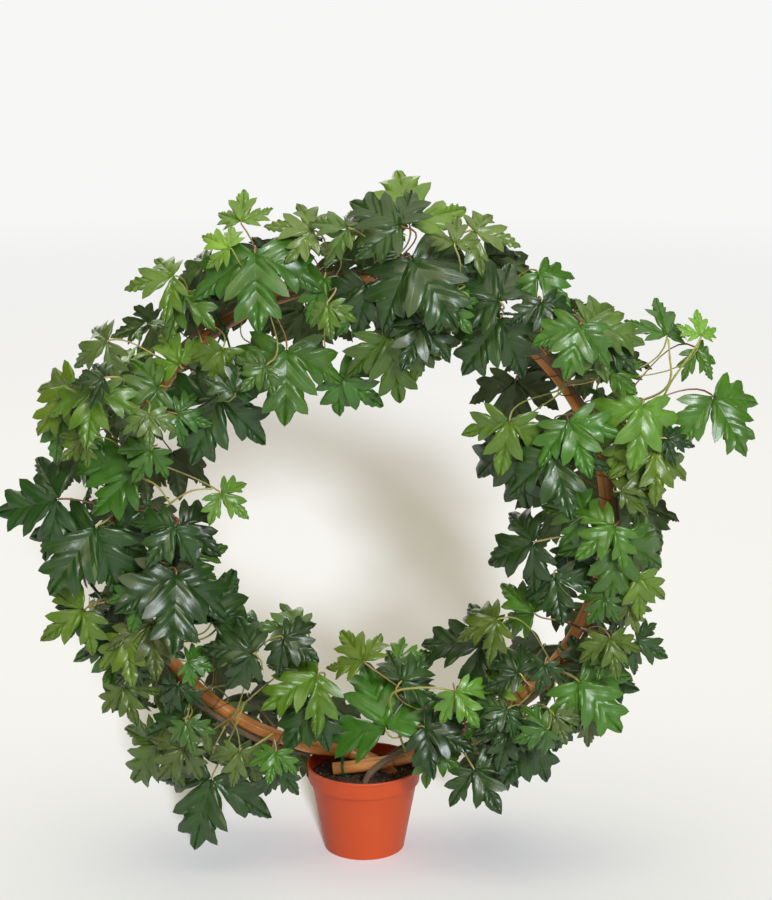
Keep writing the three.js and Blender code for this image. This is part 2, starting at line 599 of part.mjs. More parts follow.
function clockAngle(x, z) {
  const angle = THREE.MathUtils.radToDeg(Math.atan2(z - HOOP.centreZ, x));
  return angle < -90 ? angle + 360 : angle;
}

function addLeaf(shoots, leaf) {
  const [x, z] = leaf.row;
  const angle = clockAngle(x, z);
  const nearest = shoots.reduce((best, shoot) => (
    Math.abs(shoot.angle - angle) < Math.abs(best.angle - angle) ? shoot : best));
  nearest.leaves.push(leaf);
}

FRONT_LEAVES.forEach((row, i) => addLeaf(frontShoots, { row, seed: i + 1, back: false }));

// Leaves on the back follow a rule: spread round the ring at three distances from the cane,
// hanging outwards and down
for (let i = 0; i < BACK.leaves; i++) {
  const rnd = draws(5000 + i);
  const angle = THREE.MathUtils.mapLinear(i + 0.6 * rnd(), 0, BACK.leaves, ...BACK.clock);
  const [inner, outer] = BACK.reach;
  const away = THREE.MathUtils.lerp(inner, outer, ((i % 3) + 0.6 * rnd()) / 2.6);
  const reach = HOOP.radius + away;
  const [x, z] = [reach * Math.cos(radians(angle)), HOOP.centreZ + reach * Math.sin(radians(angle))];
  const outward = Math.sign(away) * BACK.outward;
  const hanging = V(outward * Math.cos(radians(angle)), 0, outward * Math.sin(radians(angle)) - BACK.hang);
  const aim = THREE.MathUtils.radToDeg(Math.atan2(hanging.z, hanging.x)) + 50 * (rnd() - 0.5);
  const length = THREE.MathUtils.lerp(...BACK.length, rnd());
  const depth = THREE.MathUtils.lerp(...BACK.depth, 1 - Math.abs(away) / 90 + 0.3 * (rnd() - 0.5));
  addLeaf(backShoots, { row: [x, z, aim, length, 'DMDG'[i % 4]], seed: 3000 + i, back: true, depth });
}

const opening = new THREE.BoxGeometry(...RING_OPENING.max.clone().sub(RING_OPENING.min).toArray());
opening.translate(...RING_OPENING.max.clone().add(RING_OPENING.min).multiplyScalar(0.5).toArray());
place(solid(opening));

// A shoot's stem, its root seated against the main stem, and the points that its leaves grow from
function growStem(shoot) {
  const hubs = shoot.leaves.map(leaf => leafPose(leaf, 0).hub);
  const middle = hubs.reduce((sum, hub) => sum.add(hub), V(0, 0, 0)).divideScalar(hubs.length);
  const end = shoot.root.clone().lerp(middle, SHOOT.reach);
  const lift = shoot.root.distanceTo(end) * SHOOT.bow;
  const build = root => {
    const bow = root.clone().addScaledVector(shoot.way, lift);
    return new THREE.QuadraticBezierCurve3(root, bow, end);
  };
  let curve = build(shoot.root);
  const reach = SHOOT.width / Math.SQRT2;
  for (let i = 0; i < 4; i++) {
    const gap = tube(curve, reach, 8, SHOOT.steps).minGap(shoot.vine.body, 6);
    curve = build(curve.v0.clone().addScaledVector(shoot.way, CLEARANCE - gap));
  }
  shoot.line = curve.getSpacedPoints(SHOOT.steps);
  shoot.stations = [0.5, 0].map(t => ({ centre: curve.getPointAt(t), along: curve.getTangentAt(t) }));
  shoot.stem = tube(curve, reach, 8, SHOOT.steps);
  shoot.body = shoot.stem;
}

const shoots = [...frontShoots, ...backShoots].filter(shoot => shoot.leaves.length > 0);
shoots.forEach(growStem);
shoots.forEach(shoot => place(shoot.stem, shoot));

// A place on a stem's middle line and the way the stem runs there
function alongLine(line, share) {
  const at = clamp(share, 0.15, 1) * (line.length - 1);
  const start = Math.min(Math.floor(at), line.length - 2);
  const [a, b] = [line[start], line[start + 1]];
  return [a.clone().lerp(b, at - start), b.clone().sub(a).normalize()];
}

// Tries a leaf's places in turn and keeps the first that clears everything placed before
function growLeaf(shoot, leaf, index) {
  const pattern = PATTERNS[leaf.row[3] >= FULL_CUT_LEAF ? 'full' : 'simple'];
  const own = placed.find(other => other.owner === shoot);
  const share = SHOOT.firstLeaf - (SHOOT.leaves * index) / Math.max(shoot.leaves.length, 4);
  for (let attempt = 0; attempt < TRIES; attempt++) {
    const pose = leafPose(leaf, attempt);
    const first = shoot.body === shoot.stem;
    const root = alongLine(shoot.line, first ? 1 : share + pose.slide);
    const { leaf: body, blade, stalk } = leafBodies(pose, pattern, ...root, []);
    if (body.boundingBox().min[2] < LOWEST_LEAF) continue;
    if (stalk.intersect(blade).volume() > 0.5) continue;
    if (blade.minGap(shoot.stem, MIN_GAP) < MIN_GAP) continue;
    if (!clears(body, MIN_GAP, own)) continue;
    const whole = first ? leafBodies(pose, pattern, ...root, shoot.stations).leaf : body;
    if (first && !clears(whole, SEAT_GAP, own)) continue;
    place(body);
    shoot.body = first ? whole : shoot.body.add(body);
    return;
  }
}

// Leaves on the front take their places first, in the order of the list
const order = shoots.flatMap(shoot => shoot.leaves.map((leaf, index) => ({ shoot, leaf, index })));
order.sort((a, b) => (a.leaf.back - b.leaf.back) || (a.leaf.seed - b.leaf.seed));
for (const { shoot, leaf, index } of order) growLeaf(shoot, leaf, index);

const plant = new THREE.Group();
plant.add(part('pot', pot, '#cd5830', 0.45));
plant.add(part('soil', soil, '#3c2d28', 0.95));
plant.add(part('hoop', hoop, '#c47a3c', 0.5));
plant.add(...vines.map(vine => part(vine.name, vine.body, '#785f50', 0.8)));
plant.add(...ties.map(([name, tie]) => part(name, tie, '#146e3c', 0.5)));
plant.add(...shoots.map(shoot => part(shoot.name, shoot.body, TONES[shoot.leaves[0].row[4]], 0.45)));
export default plant;
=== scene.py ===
import math

import bmesh
import bpy
import numpy as np
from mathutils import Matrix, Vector
from mathutils.bvhtree import BVHTree
from mathutils.kdtree import KDTree


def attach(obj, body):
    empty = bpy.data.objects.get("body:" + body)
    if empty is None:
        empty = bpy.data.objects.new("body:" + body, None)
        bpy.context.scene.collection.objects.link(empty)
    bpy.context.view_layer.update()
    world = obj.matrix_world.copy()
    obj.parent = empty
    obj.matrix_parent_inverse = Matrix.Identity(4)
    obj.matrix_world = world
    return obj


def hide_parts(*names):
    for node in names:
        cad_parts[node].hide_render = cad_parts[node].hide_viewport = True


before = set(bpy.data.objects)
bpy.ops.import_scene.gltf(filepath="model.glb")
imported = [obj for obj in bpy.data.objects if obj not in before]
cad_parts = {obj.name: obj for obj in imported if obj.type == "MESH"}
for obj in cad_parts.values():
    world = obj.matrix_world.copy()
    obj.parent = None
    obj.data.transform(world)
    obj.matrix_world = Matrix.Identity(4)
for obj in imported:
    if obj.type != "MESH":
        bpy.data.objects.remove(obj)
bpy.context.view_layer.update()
MM = 0.001

# Sizes of the solids that the fine pieces follow, in millimetres
POT = {"rim": 70, "band": 22, "shoulder": 65, "base": 49.5, "height": 108, "wall": 2, "floor": 2.4}
DRAIN = {"count": 6, "ring": 32, "radius": 4.5}
SOIL_TOP = 93.2
CANE_RADIUS = 8
RING_RADIUS = 292
RING_CENTRE = 414
RING_START = 256
RING_SWEEP = 324
RING_SPANS = 21
CANE_STEPS = 46
CANE_TAIL = [(52, 9, 68), (40, 9, 83), (22, 9, 100), (-3, 9, 113.5), (-30, 7, 121)]
CANE_FRONT = [(91, -9, 132.5), (62, -10.5, 122.5), (30, -11.5, 114), (0, -12, 109),
              (-38, -12, 104.5)]
VINE_RADIUS = 4
VINE_OFFSET = 13.1
VINES = {
    "vine_right": {
        "foot": [(1, -32, 66), (2, -32, 97), (15, -30, 113), (36, -27, 127), (64, -22, 139)],
        "lay": [(-68, 118), (-56, 70), (-40, 45), (-20, 28), (10, 40), (40, 68), (70, 92), (100, 98),
                (128, 85)],
    },
    "vine_left": {
        "foot": [(-20, 30, 66), (-22, 30, 97), (-42, 24, 113), (-78, 12, 117.5)],
        "lay": [(249, 4), (236, 18), (215, 40), (188, 68), (160, 44), (135, 18), (110, 4), (84, 6),
                (60, 4)],
    },
    "vine_back_right": {
        "foot": [(26, 33, 66), (28, 33, 97), (48, 27, 117), (72, 16, 131)],
        "lay": [(-71, 305), (-52, 258), (-25, 268), (10, 300), (45, 280), (75, 250), (104, 262)],
    },
    "vine_back_left": {
        "foot": [(-8, 46, 66), (-10, 46, 97), (-34, 38, 117), (-66, 24, 131)],
        "lay": [(254, 280), (236, 290), (208, 262), (180, 248), (150, 280), (109, 285)],
    },
}
TIES = {"tie_top_left": 124, "tie_right": -33, "tie_left": 199, "tie_top_right": 52}
POT_TIE = (-26, -2, 114)
TIE_REACH = 22
TIE_SLACK = 0.75
TIE_WALL = 1.1
TIE_WIDTH = 3.2
TIE_CLEAR = 4
TIE_SIDES = 12

# The viewer's place, and the upright plane before the ring in which the leaves were read
VIEWPOINT = np.array([27.0, -2495.0, 1110.0])
READ_Y = -60

# Leaves: how they fold, spread and lie in layers before and behind the ring, and seeds of draws
FOLD = 0.15
SPREAD = 60
LATERAL = 0.86
STALK_BACK = 2.4
LAYER_HALF = 130
LAYER_BASE = 34
LAYER_BOW = 56
FRONT_DEPTHS = (27, 122)
BACK_DEPTHS = (27, 112)
TRIES = 120
FULL_CUT_LEAF = 75
TIP_HALF = 0.4
TIP_NEAR = 0.3
BLADE_HALF = 0.32
BLADE_THINNING = 0.12
RIB_HEIGHT = 0.55
BACK_SEED = 3000
BACK_DRAW_SEED = 5000
SHOOT_SEED = 4000
SMALL_SEED = 6000
FILLING_SEED = 8000
BACK_FILLING_SEED = 8400
RIM_SEED = 8700
TONE_SEED = 9000

# Leaves on the front: x and z of the hub, the way the middle leaflet points, its length and its tone
FRONT_LEAVES = [
    (-215, 188, 200, 55, "D"), (-244, 156, 232, 75, "O"), (-183, 113, 255, 95, "D"),
    (404, 583, 305, 75, "M"), (-355, 460, 195, 85, "D"), (-312, 427, 240, 90, "D"),
    (54, 780, 100, 80, "L"), (45, 780, 145, 80, "D"), (256, 236, 318, 76, "M"), (271, 245, 50, 75, "D"),
    (27, 175, 112, 80, "M"), (-234, 215, 45, 80, "M"), (-330, 600, 228, 75, "O"),
    (-292, 648, 205, 58, "G"), (-345, 565, 255, 60, "M"), (-180, 308, 65, 70, "D"),
    (255, 668, 350, 80, "G"), (125, 775, 350, 60, "G"), (-87, 640, 268, 85, "M"),
    (-28, 608, 325, 68, "M"), (-165, 583, 243, 90, "D"), (202, 408, 205, 73, "D"),
    (175, 530, 280, 85, "D"), (220, 515, 285, 70, "D"), (300, 415, 262, 80, "M"),
    (280, 432, 15, 80, "M"), (158, 693, 135, 80, "D"), (159, 676, 235, 85, "D"),
    (55, 743, 310, 80, "D"), (30, 655, 272, 88, "O"), (70, 655, 270, 70, "O"), (105, 650, 268, 65, "O"),
    (28, 740, 200, 70, "D"), (5, 715, 255, 65, "D"), (-122, 751, 278, 77, "M"),
    (-215, 723, 190, 60, "O"), (-202, 703, 250, 62, "M"), (-175, 738, 205, 55, "G"),
    (-210, 620, 119, 55, "L"), (-233, 595, 178, 63, "M"), (-310, 590, 265, 60, "O"),
    (-260, 568, 235, 55, "G"), (-266, 491, 165, 85, "M"), (-292, 430, 300, 78, "D"),
    (-220, 428, 235, 55, "D"), (-215, 430, 338, 63, "D"), (-220, 370, 272, 80, "D"),
    (-250, 310, 280, 60, "G"), (-330, 325, 215, 65, "O"), (-285, 306, 205, 65, "D"),
    (-287, 293, 265, 70, "M"), (-173, 300, 5, 75, "M"), (-72, 300, 165, 60, "G"),
    (-96, 291, 322, 60, "D"), (-130, 270, 170, 70, "D"), (-53, 245, 205, 75, "O"),
    (-60, 205, 240, 65, "D"), (72, 178, 340, 65, "D"), (79, 153, 322, 55, "M"), (5, 258, 38, 60, "O"),
    (1, 260, 135, 55, "O"), (145, 285, 185, 80, "D"), (160, 313, 190, 60, "O"),
    (200, 163, 235, 65, "D"), (237, 193, 262, 58, "D"), (203, 320, 150, 55, "M"),
    (225, 366, 282, 55, "D"), (242, 403, 300, 57, "D"), (295, 428, 215, 55, "M"),
    (315, 415, 305, 70, "M"), (260, 440, 170, 55, "M"), (170, 555, 255, 70, "O"),
    (238, 555, 290, 65, "M"), (340, 520, 275, 60, "O"), (325, 575, 265, 70, "L"),
    (310, 535, 240, 55, "L"), (250, 668, 245, 75, "M"), (185, 730, 30, 65, "L"),
    (200, 728, 322, 55, "M"), (-43, 722, 240, 60, "M"), (-55, 775, 165, 60, "G"),
    (-15, 778, 175, 55, "G"), (349, 654, 95, 47, "M"), (383, 639, 310, 40, "M"),
    (-137, 785, 85, 40, "L"), (-200, 389, 10, 48, "M"), (-166, 468, 325, 46, "L"),
    (110, 223, 295, 48, "L"), (156, 218, 100, 50, "L"),
]

# Smaller leaves that are only in this model, read in the same way
SMALL_LEAVES = [
    (-150, 755, 160, 45, "L"), (-255, 660, 215, 50, "M"), (-245, 670, 180, 50, "O"),
    (-297, 605, 190, 45, "D"), (-147, 586, 85, 50, "D"), (-258, 350, 250, 50, "M"),
    (-140, 198, 60, 45, "M"), (-155, 220, 150, 35, "D"), (-160, 203, 250, 30, "M"),
    (-150, 205, 330, 40, "M"), (-215, 148, 350, 50, "D"), (40, 260, 20, 45, "M"),
    (45, 235, 30, 50, "D"), (97, 229, 65, 38, "L"), (120, 330, 190, 45, "G"), (150, 188, 215, 40, "M"),
    (175, 175, 250, 50, "D"), (220, 175, 205, 50, "M"), (285, 340, 235, 40, "M"),
    (323, 368, 275, 50, "O"), (315, 330, 290, 35, "G"), (140, 338, 165, 50, "L"),
    (303, 423, 350, 45, "O"), (190, 480, 245, 50, "O"), (153, 585, 255, 50, "D"),
    (167, 585, 292, 50, "D"), (315, 515, 190, 50, "O"), (345, 490, 290, 50, "D"),
    (325, 593, 80, 40, "L"), (352, 533, 345, 38, "D"), (388, 654, 95, 30, "L"), (285, 610, 20, 45, "M"),
    (280, 645, 320, 50, "D"), (205, 695, 290, 45, "D"), (165, 738, 80, 40, "L"),
    (105, 760, 80, 40, "G"), (90, 777, 50, 47, "O"), (55, 770, 262, 40, "M"), (45, 703, 275, 50, "M"),
    (110, 707, 215, 30, "L"), (-43, 733, 100, 45, "M"), (-127, 685, 265, 30, "L"),
    (-40, 690, 280, 40, "O"), (-160, 640, 250, 50, "O"), (-110, 620, 230, 45, "M"),
    (250, 300, 300, 50, "M"), (60, 290, 200, 50, "D"), (100, 690, 300, 45, "M"),
    (300, 470, 20, 50, "O"), (-300, 520, 190, 50, "O"), (-245, 520, 250, 45, "M"),
    (170, 640, 270, 50, "O"),
]

# Added leaves: the clock angles between which they lie, their count and how far from the ring they go
FILLING = [(-64, 242, 68, -52, 56), (200, 262, 26, -52, 20), (-76, -22, 20, -52, 36)]
BACK_FILLING = {"first": -80, "last": 260, "count": 58}
RIM = {"first": -62, "last": 240, "count": 66, "away": (24, 54), "depth": (-58, 36)}
GOLDEN = 0.618

# Clock angles between which the front shows the cane, and the bare thin stems with their main stems
BARE_CANE = [(-33, -26), (6, 15), (31, 36), (40, 46), (113, 122), (136, 141), (170, 184), (230, 252)]
RUNNERS = [
    ("vine_right", [(123, 155, -40), (155, 170, -70), (180, 200, -80), (200, 220, -84), (215, 243, -78)]),
    ("vine_right", [(35, 220, -96), (65, 227, -104), (94, 226, -106), (110, 222, -100)]),
    ("vine_left", [(-110, 168, -60), (-135, 150, -78), (-155, 130, -84)]),
    ("vine_left", [(-247, 436, -60), (-225, 455, -84), (-200, 470, -92), (-175, 473, -88)]),
    ("vine_left", [(-266, 490, -66), (-240, 476, -86), (-226, 456, -84)]),
    ("vine_right", [(346, 589, -60), (355, 606, -70), (353, 630, -74), (351, 650, -72)]),
    ("vine_right", [(340, 575, -50), (358, 604, -66), (382, 640, -76), (388, 652, -76)]),
]

# Leaves on the back that have solids: count, clock angles, length, distance from the ring and depth
BACK_LEAVES = 34
BACK_FIRST = -84
BACK_SPAN = 348
BACK_LENGTH = (60, 80)
BACK_REACH = (-48, 66)
BACK_DEPTH = (38, 92)

# Side shoots: the stems that they leave, where one stem follows the other, count, angles and side
FRONT_SHOOTS = {"kind": "front", "vines": ("vine_right", "vine_left"), "change": 125,
                "count": 26, "first": -62, "last": 248, "look": 90}
BACK_SHOOTS = {"kind": "back", "vines": ("vine_back_right", "vine_back_left"), "change": 106,
               "count": 18, "first": -68, "last": 247, "look": 270}


# Small tools for numbers and places
def draws(seed):
    """A call that gives another number from 0 to 1 each time, always in the same order."""
    state = (seed * 2654435 + 97531) & 0xFFFFFFFF

    def draw():
        nonlocal state
        state = (state * 1664525 + 1013904223) & 0xFFFFFFFF
        return state / 4294967296

    return draw


def clamp(value, low, high):
    return max(low, min(high, value))


def mix(low, high, share):
    return low + (high - low) * share


def unit(way):
    return way / np.linalg.norm(way)


def place(x, y, z):
    return np.array([x, y, z], float)


def linear(colour):
    """A colour as a picture gives it, from 0 to 255, in the light that it stands for."""
    shares = [c / 255 for c in colour]
    return np.array([c / 12.92 if c <= 0.04045 else ((c + 0.055) / 1.055) ** 2.4 for c in shares])


def smooth_line(points, per_span=20):
    """Close places on the smooth line through some points."""
    points = np.array(points, float)
    ends = np.vstack([2 * points[0] - points[1], points, 2 * points[-1] - points[-2]])
    line = [points[0]]
    for i in range(len(points) - 1):
        p0, p1, p2, p3 = ends[i:i + 4]
        d0, d1, d2 = (np.linalg.norm(b - a) ** 0.5 for a, b in ((p0, p1), (p1, p2), (p2, p3)))
        leave = ((p1 - p0) / d0 - (p2 - p0) / (d0 + d1) + (p2 - p1) / d1) * d1
        arrive = ((p2 - p1) / d1 - (p3 - p1) / (d1 + d2) + (p3 - p2) / d2) * d1
        for step in range(1, per_span + 1):
            t = step / per_span
            line.append(p1 + leave * t + (3 * (p2 - p1) - 2 * leave - arrive) * t * t
                        + (2 * (p1 - p2) + leave + arrive) * t ** 3)
    return np.array(line)


def lengths_along(line):
    """How far each place of a line is from its start."""
    return np.concatenate([[0], np.cumsum(np.linalg.norm(np.diff(line, axis=0), axis=1))])


def evenly(line, count):
    """The line again, as count places at even distances."""
    arc = lengths_along(line)
    at = np.linspace(0, arc[-1], count)
    return np.stack([np.interp(at, arc, line[:, i]) for i in range(3)], axis=1)


def frames_along(line, wide):
    """Running, sideways and upward directions at each place of a line, turning as little as they can."""
    ways = np.gradient(line, axis=0)
    ways /= np.linalg.norm(ways, axis=1)[:, None]
    sides = []
    for way in ways:
        wide = unit(wide - way * (wide @ way))
        sides.append(wide)
    sides = np.array(sides)
    return ways, sides, np.cross(sides, ways)


# The cane's middle line, the main stems on it and the side shoots
def near_ring(turn, away=0):
    """x and z of a place by its turn round the ring's middle and how far outside the ring it lies."""
    return (RING_RADIUS + away) * math.cos(turn), RING_CENTRE + (RING_RADIUS + away) * math.sin(turn)


def ring_point(angle):
    x, z = near_ring(math.radians(angle))
    return x, 0, z


RING_POINTS = [ring_point(RING_START - i * RING_SWEEP / RING_SPANS) for i in range(RING_SPANS + 1)]
HOOP_POINTS = CANE_TAIL + RING_POINTS + CANE_FRONT
HOOP_SMOOTH = smooth_line(HOOP_POINTS, 40)
HOOP_LINE = evenly(HOOP_SMOOTH, CANE_STEPS + 1)


def cane_samples(per_step=16):
    """Close places on the cane's middle line, and the clock angle of each, which never jumps."""
    at = np.arange((len(HOOP_LINE) - 1) * per_step + 1) / per_step
    steps = np.arange(len(HOOP_LINE))
    points = np.stack([np.interp(at, steps, HOOP_LINE[:, i]) for i in range(3)], axis=1)
    last = 285
    angles = []
    for x, _, z in points:
        angle = math.degrees(math.atan2(z - RING_CENTRE, x))
        while angle < last - 180:
            angle += 360
        while angle > last + 180:
            angle -= 360
        last = angle
        angles.append(angle)
    return points, np.array(angles)


CANE_POINTS, CANE_CLOCK = cane_samples()


def cane_at(angle):
    """Centre of the cane at a clock angle, with its outward and front directions."""
    after = int(np.argmax(CANE_CLOCK <= angle)) if (CANE_CLOCK <= angle).any() else len(CANE_CLOCK) - 1
    after = clamp(after, 1, len(CANE_CLOCK) - 1)
    a, b = CANE_POINTS[after - 1], CANE_POINTS[after]
    centre = a + (b - a) * (CANE_CLOCK[after - 1] - angle) / (CANE_CLOCK[after - 1] - CANE_CLOCK[after])
    along = unit(b - a)
    out = unit(place(centre[0], 0, centre[2] - RING_CENTRE))
    out = unit(out - along * (out @ along))
    front = place(0, -1, 0)
    front = unit(front - along * (front @ along))
    return centre, out, front


def side_direction(cane, side):
    """The way out of the cane at a side: 0 is outwards on the ring and 90 is the front."""
    return cane[1] * math.cos(math.radians(side)) + cane[2] * math.sin(math.radians(side))


def side_at(vine, angle):
    lay = sorted(VINES[vine]["lay"])
    return float(np.interp(angle, [a for a, _ in lay], [s for _, s in lay]))


def vine_point(vine, angle):
    cane = cane_at(angle)
    return cane[0] + side_direction(cane, side_at(vine, angle)) * VINE_OFFSET


def vine_line(vine):
    first, last = VINES[vine]["lay"][0][0], VINES[vine]["lay"][-1][0]
    count = round(abs(last - first) / 6)
    laid = [vine_point(vine, first + (last - first) * i / count) for i in range(count + 1)]
    return smooth_line([*VINES[vine]["foot"], *laid])


def clock_angle(x, z):
    angle = math.degrees(math.atan2(z - RING_CENTRE, x))
    return angle + 360 if angle < -90 else angle


def make_shoot(row, number):
    angle = row["first"] + (row["last"] - row["first"]) * number / (row["count"] - 1)
    for tie in TIES.values():
        if abs(angle - tie) < TIE_CLEAR:
            angle = tie + (-TIE_CLEAR if angle < tie else TIE_CLEAR)
            break
    vine = row["vines"][0 if angle < row["change"] else 1]
    side = side_at(vine, angle)
    cane = cane_at(angle)
    way = side_direction(cane, side + clamp(row["look"] - side, -50, 50))
    root = vine_point(vine, angle) + way * (VINE_RADIUS + 0.35)
    name = f"shoot_{row['kind']}_{number + 1}"
    return {"name": name, "angle": angle, "way": way, "root": root, "leaves": []}


def nearest_shoot(shoots, x, z):
    return min(shoots, key=lambda shoot: abs(shoot["angle"] - clock_angle(x, z)))


front_shoots = [make_shoot(FRONT_SHOOTS, i) for i in range(FRONT_SHOOTS["count"])]
back_shoots = [make_shoot(BACK_SHOOTS, i) for i in range(BACK_SHOOTS["count"])]


# Leaves: the place, the lean and the bend of each
def try_draws(leaf, attempt):
    return draws(leaf["seed"] * 977 + attempt * 131)


def posed(hub, aim, normal, size, **bends):
    """A leaf's pose: where its hub is, where it points, faces and lies sideways, and how it bends."""
    side = np.cross(normal, aim)
    return {"hub": hub, "aim": aim, "normal": normal, "side": side, "size": size, **bends}


def leaf_pose(leaf, attempt, forward=0):
    """Place, directions and bends of a leaf. Each further try strays a little more from what was read."""
    x, z, aim_angle, length, _ = leaf["row"]
    draw = try_draws(leaf, attempt)
    loose = attempt / TRIES
    away = math.hypot(x, z - RING_CENTRE) - RING_RADIUS
    bow = math.sqrt(max(0, 1 - (away / LAYER_HALF) ** 2))
    shift = (draw() - 0.5) * (12 + 80 * loose)
    depth = clamp(LAYER_BASE + LAYER_BOW * bow + shift, *FRONT_DEPTHS) + forward
    if leaf["back"]:
        depth = clamp(leaf["depth"] + shift, *BACK_DEPTHS)
    turn = math.radians(aim_angle + (draw() - 0.5) * (6 + 26 * loose))
    flat_aim = place(math.cos(turn), 0, math.sin(turn))
    radial = unit(place(x, 0, z - RING_CENTRE))
    facing = 1 if leaf["back"] else -1
    shake = place(draw() - 0.5, 0, draw() - 0.5) * (0.3 + 0.5 * loose)
    normal = unit(place(0, 0.8 * facing, 0.4) + radial * 0.32 * clamp(away / 90, -1, 1) + shake)
    lean = clamp(-(flat_aim @ normal) / normal[1], -0.85, 0.85)
    aim = unit(flat_aim + place(0, lean, 0))
    normal = unit(normal - aim * (normal @ aim))
    hub = place(x, depth, z)
    scale = 1
    if not leaf["back"]:
        scale = (-depth - VIEWPOINT[1]) / (READ_Y - VIEWPOINT[1])
        hub = VIEWPOINT + (place(x, READ_Y, z) - VIEWPOINT) * scale
    size = length * scale * math.sqrt(1 + lean * lean) * (1 - 0.22 * loose * draw())
    bend = 0.5 * (0.5 + 1.1 * draw())
    spread = SPREAD + (draw() - 0.5) * 16
    droop = 0.1 + 0.3 * draw()
    slide = (draw() - 0.5) * 0.7 * loose
    sway = (draw() - 0.5) * 0.9 * loose
    return posed(hub, aim, normal, size, bend=bend, spread=math.radians(spread), droop=droop, slide=slide,
                 sway=sway)


def on_leaflet(pose, turn, length, slope, u, v):
    """Places on a leaflet and its upward directions, from u along it and v across it, in its lengths."""
    u, v = np.atleast_1d(u).astype(float), np.atleast_1d(v).astype(float)
    along = pose["aim"] * math.cos(turn) + pose["side"] * math.sin(turn)
    across = pose["side"] * math.cos(turn) - pose["aim"] * math.sin(turn)
    curl = pose["bend"] * u
    reach = np.sin(curl) / pose["bend"] * length
    rise = FOLD * np.abs(v) * length - (1 - np.cos(curl)) / pose["bend"] * length - slope * u * length
    up = np.cos(curl)[:, None] * pose["normal"] + np.sin(curl)[:, None] * along
    flat = pose["hub"] + reach[:, None] * along + (v * length)[:, None] * across
    return flat + rise[:, None] * pose["normal"], up


def leaflets_of(pose, full=True):
    """Pattern, turn, length and slope of a leaf's three leaflets."""
    lateral = LATERAL * pose["size"]
    return [("full" if full else "simple", 0, pose["size"], 0),
            ("left", pose["spread"], lateral, pose["droop"]),
            ("right", -pose["spread"], lateral, pose["droop"])]


def outward_aim(turn, push, fall):
    """The angle that a leaf points at, away from the ring's middle and a little down."""
    return math.degrees(math.atan2(push * math.sin(turn) - fall, push * math.cos(turn)))


for i, row in enumerate(FRONT_LEAVES):
    shoot = nearest_shoot(front_shoots, row[0], row[1])
    shoot["leaves"].append({"row": row, "seed": i + 1, "back": False})
for i in range(BACK_LEAVES):
    draw = draws(BACK_DRAW_SEED + i)
    angle = BACK_FIRST + (i + 0.6 * draw()) * BACK_SPAN / BACK_LEAVES
    away = BACK_REACH[0] + (BACK_REACH[1] - BACK_REACH[0]) * ((i % 3) + 0.6 * draw()) / 2.6
    turn = math.radians(angle)
    x, z = near_ring(turn, away)
    aim = outward_aim(turn, math.copysign(0.6, away), 0.75) + 50 * (draw() - 0.5)
    length = mix(*BACK_LENGTH, draw())
    depth = mix(*BACK_DEPTH, 1 - abs(away) / 90 + 0.3 * (draw() - 0.5))
    row = (x, z, aim, length, "DMDG"[i % 4])
    shoot = nearest_shoot(back_shoots, x, z)
    shoot["leaves"].append({"row": row, "seed": BACK_SEED + i, "back": True, "depth": depth})

for shoot in front_shoots + back_shoots:
    middle = np.mean([leaf_pose(leaf, 0)["hub"] for leaf in shoot["leaves"]], axis=0)
    root, way = shoot["root"], shoot["way"]
    end = root + (middle - root) * 0.5
    bow = root + way * (np.linalg.norm(root - end) * 0.45)
    share = np.linspace(0, 1, 17)[:, None]
    shoot["line"] = evenly(root * (1 - share) ** 2 + bow * 2 * share * (1 - share) + end * share ** 2, 17)


# Which of its tries each leaf's solid has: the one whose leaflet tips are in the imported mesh
def node_tree(name):
    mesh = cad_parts[name].data
    tree = KDTree(len(mesh.vertices))
    for vertex in mesh.vertices:
        tree.insert(vertex.co, vertex.index)
    tree.balance()
    return tree


def accepted_try(leaf, tree):
    for attempt in range(TRIES):
        pose = leaf_pose(leaf, attempt)
        marks = []
        for _, *leaflet in leaflets_of(pose):
            point, up = on_leaflet(pose, *leaflet, 1, 0)
            marks += [point[0] + up[0] * TIP_HALF, point[0] - up[0] * TIP_HALF]
        near = [tree.find(Vector(mark * MM))[2] < TIP_NEAR * MM for mark in marks]
        if all(near[:2]) and sum(near) >= 4:
            return attempt
    return None


for shoot in front_shoots + back_shoots:
    tree = node_tree(shoot["name"])
    for leaf in shoot["leaves"]:
        leaf["try"] = accepted_try(leaf, tree)


# Corners of half a leaflet: place, vein number, bulge of the edge before, and where its vein starts
MIDDLE_FULL = [(0.15, 0.13, 0.7, 0.08, 0.05), (0.34, 0.25, 1.5, 0.05, 0.11), (0.61, 0.37, 2, 0.09, 0.16),
               (0.50, 0.14, 2.5, 0.08, 0.33), (0.64, 0.215, 3.3, 0.07, 0.42), (0.85, 0.265, 4, 0.09, 0.50),
               (0.755, 0.08, 4.5, 0.08, 0.62), (0.83, 0.105, 5, 0.07, 0.71), (1, 0, 6, 0.06, 1)]
MIDDLE_SIMPLE = [(0.15, 0.12, 0.7, 0.08, 0.05), (0.38, 0.235, 1.5, 0.05, 0.12),
                 (0.67, 0.335, 2, 0.09, 0.20), (0.57, 0.115, 2.5, 0.08, 0.40),
                 (0.70, 0.15, 3.4, 0.07, 0.50), (0.84, 0.11, 4.6, 0.05, 0.72), (1, 0, 6, 0.03, 1)]
OUTER = [(0.06, 0.10, 0.7, 0.08, 0.03), (0.16, 0.28, 1.5, 0.06, 0.05), (0.38, 0.45, 2, 0.09, 0.08),
         (0.32, 0.165, 2.5, 0.08, 0.19), (0.45, 0.265, 3.3, 0.07, 0.27), (0.71, 0.36, 4, 0.09, 0.36),
         (0.62, 0.11, 4.5, 0.08, 0.53), (0.74, 0.145, 5, 0.07, 0.64), (0.87, 0.095, 5.5, 0.05, 0.79),
         (1, 0, 6, 0.02, 1)]
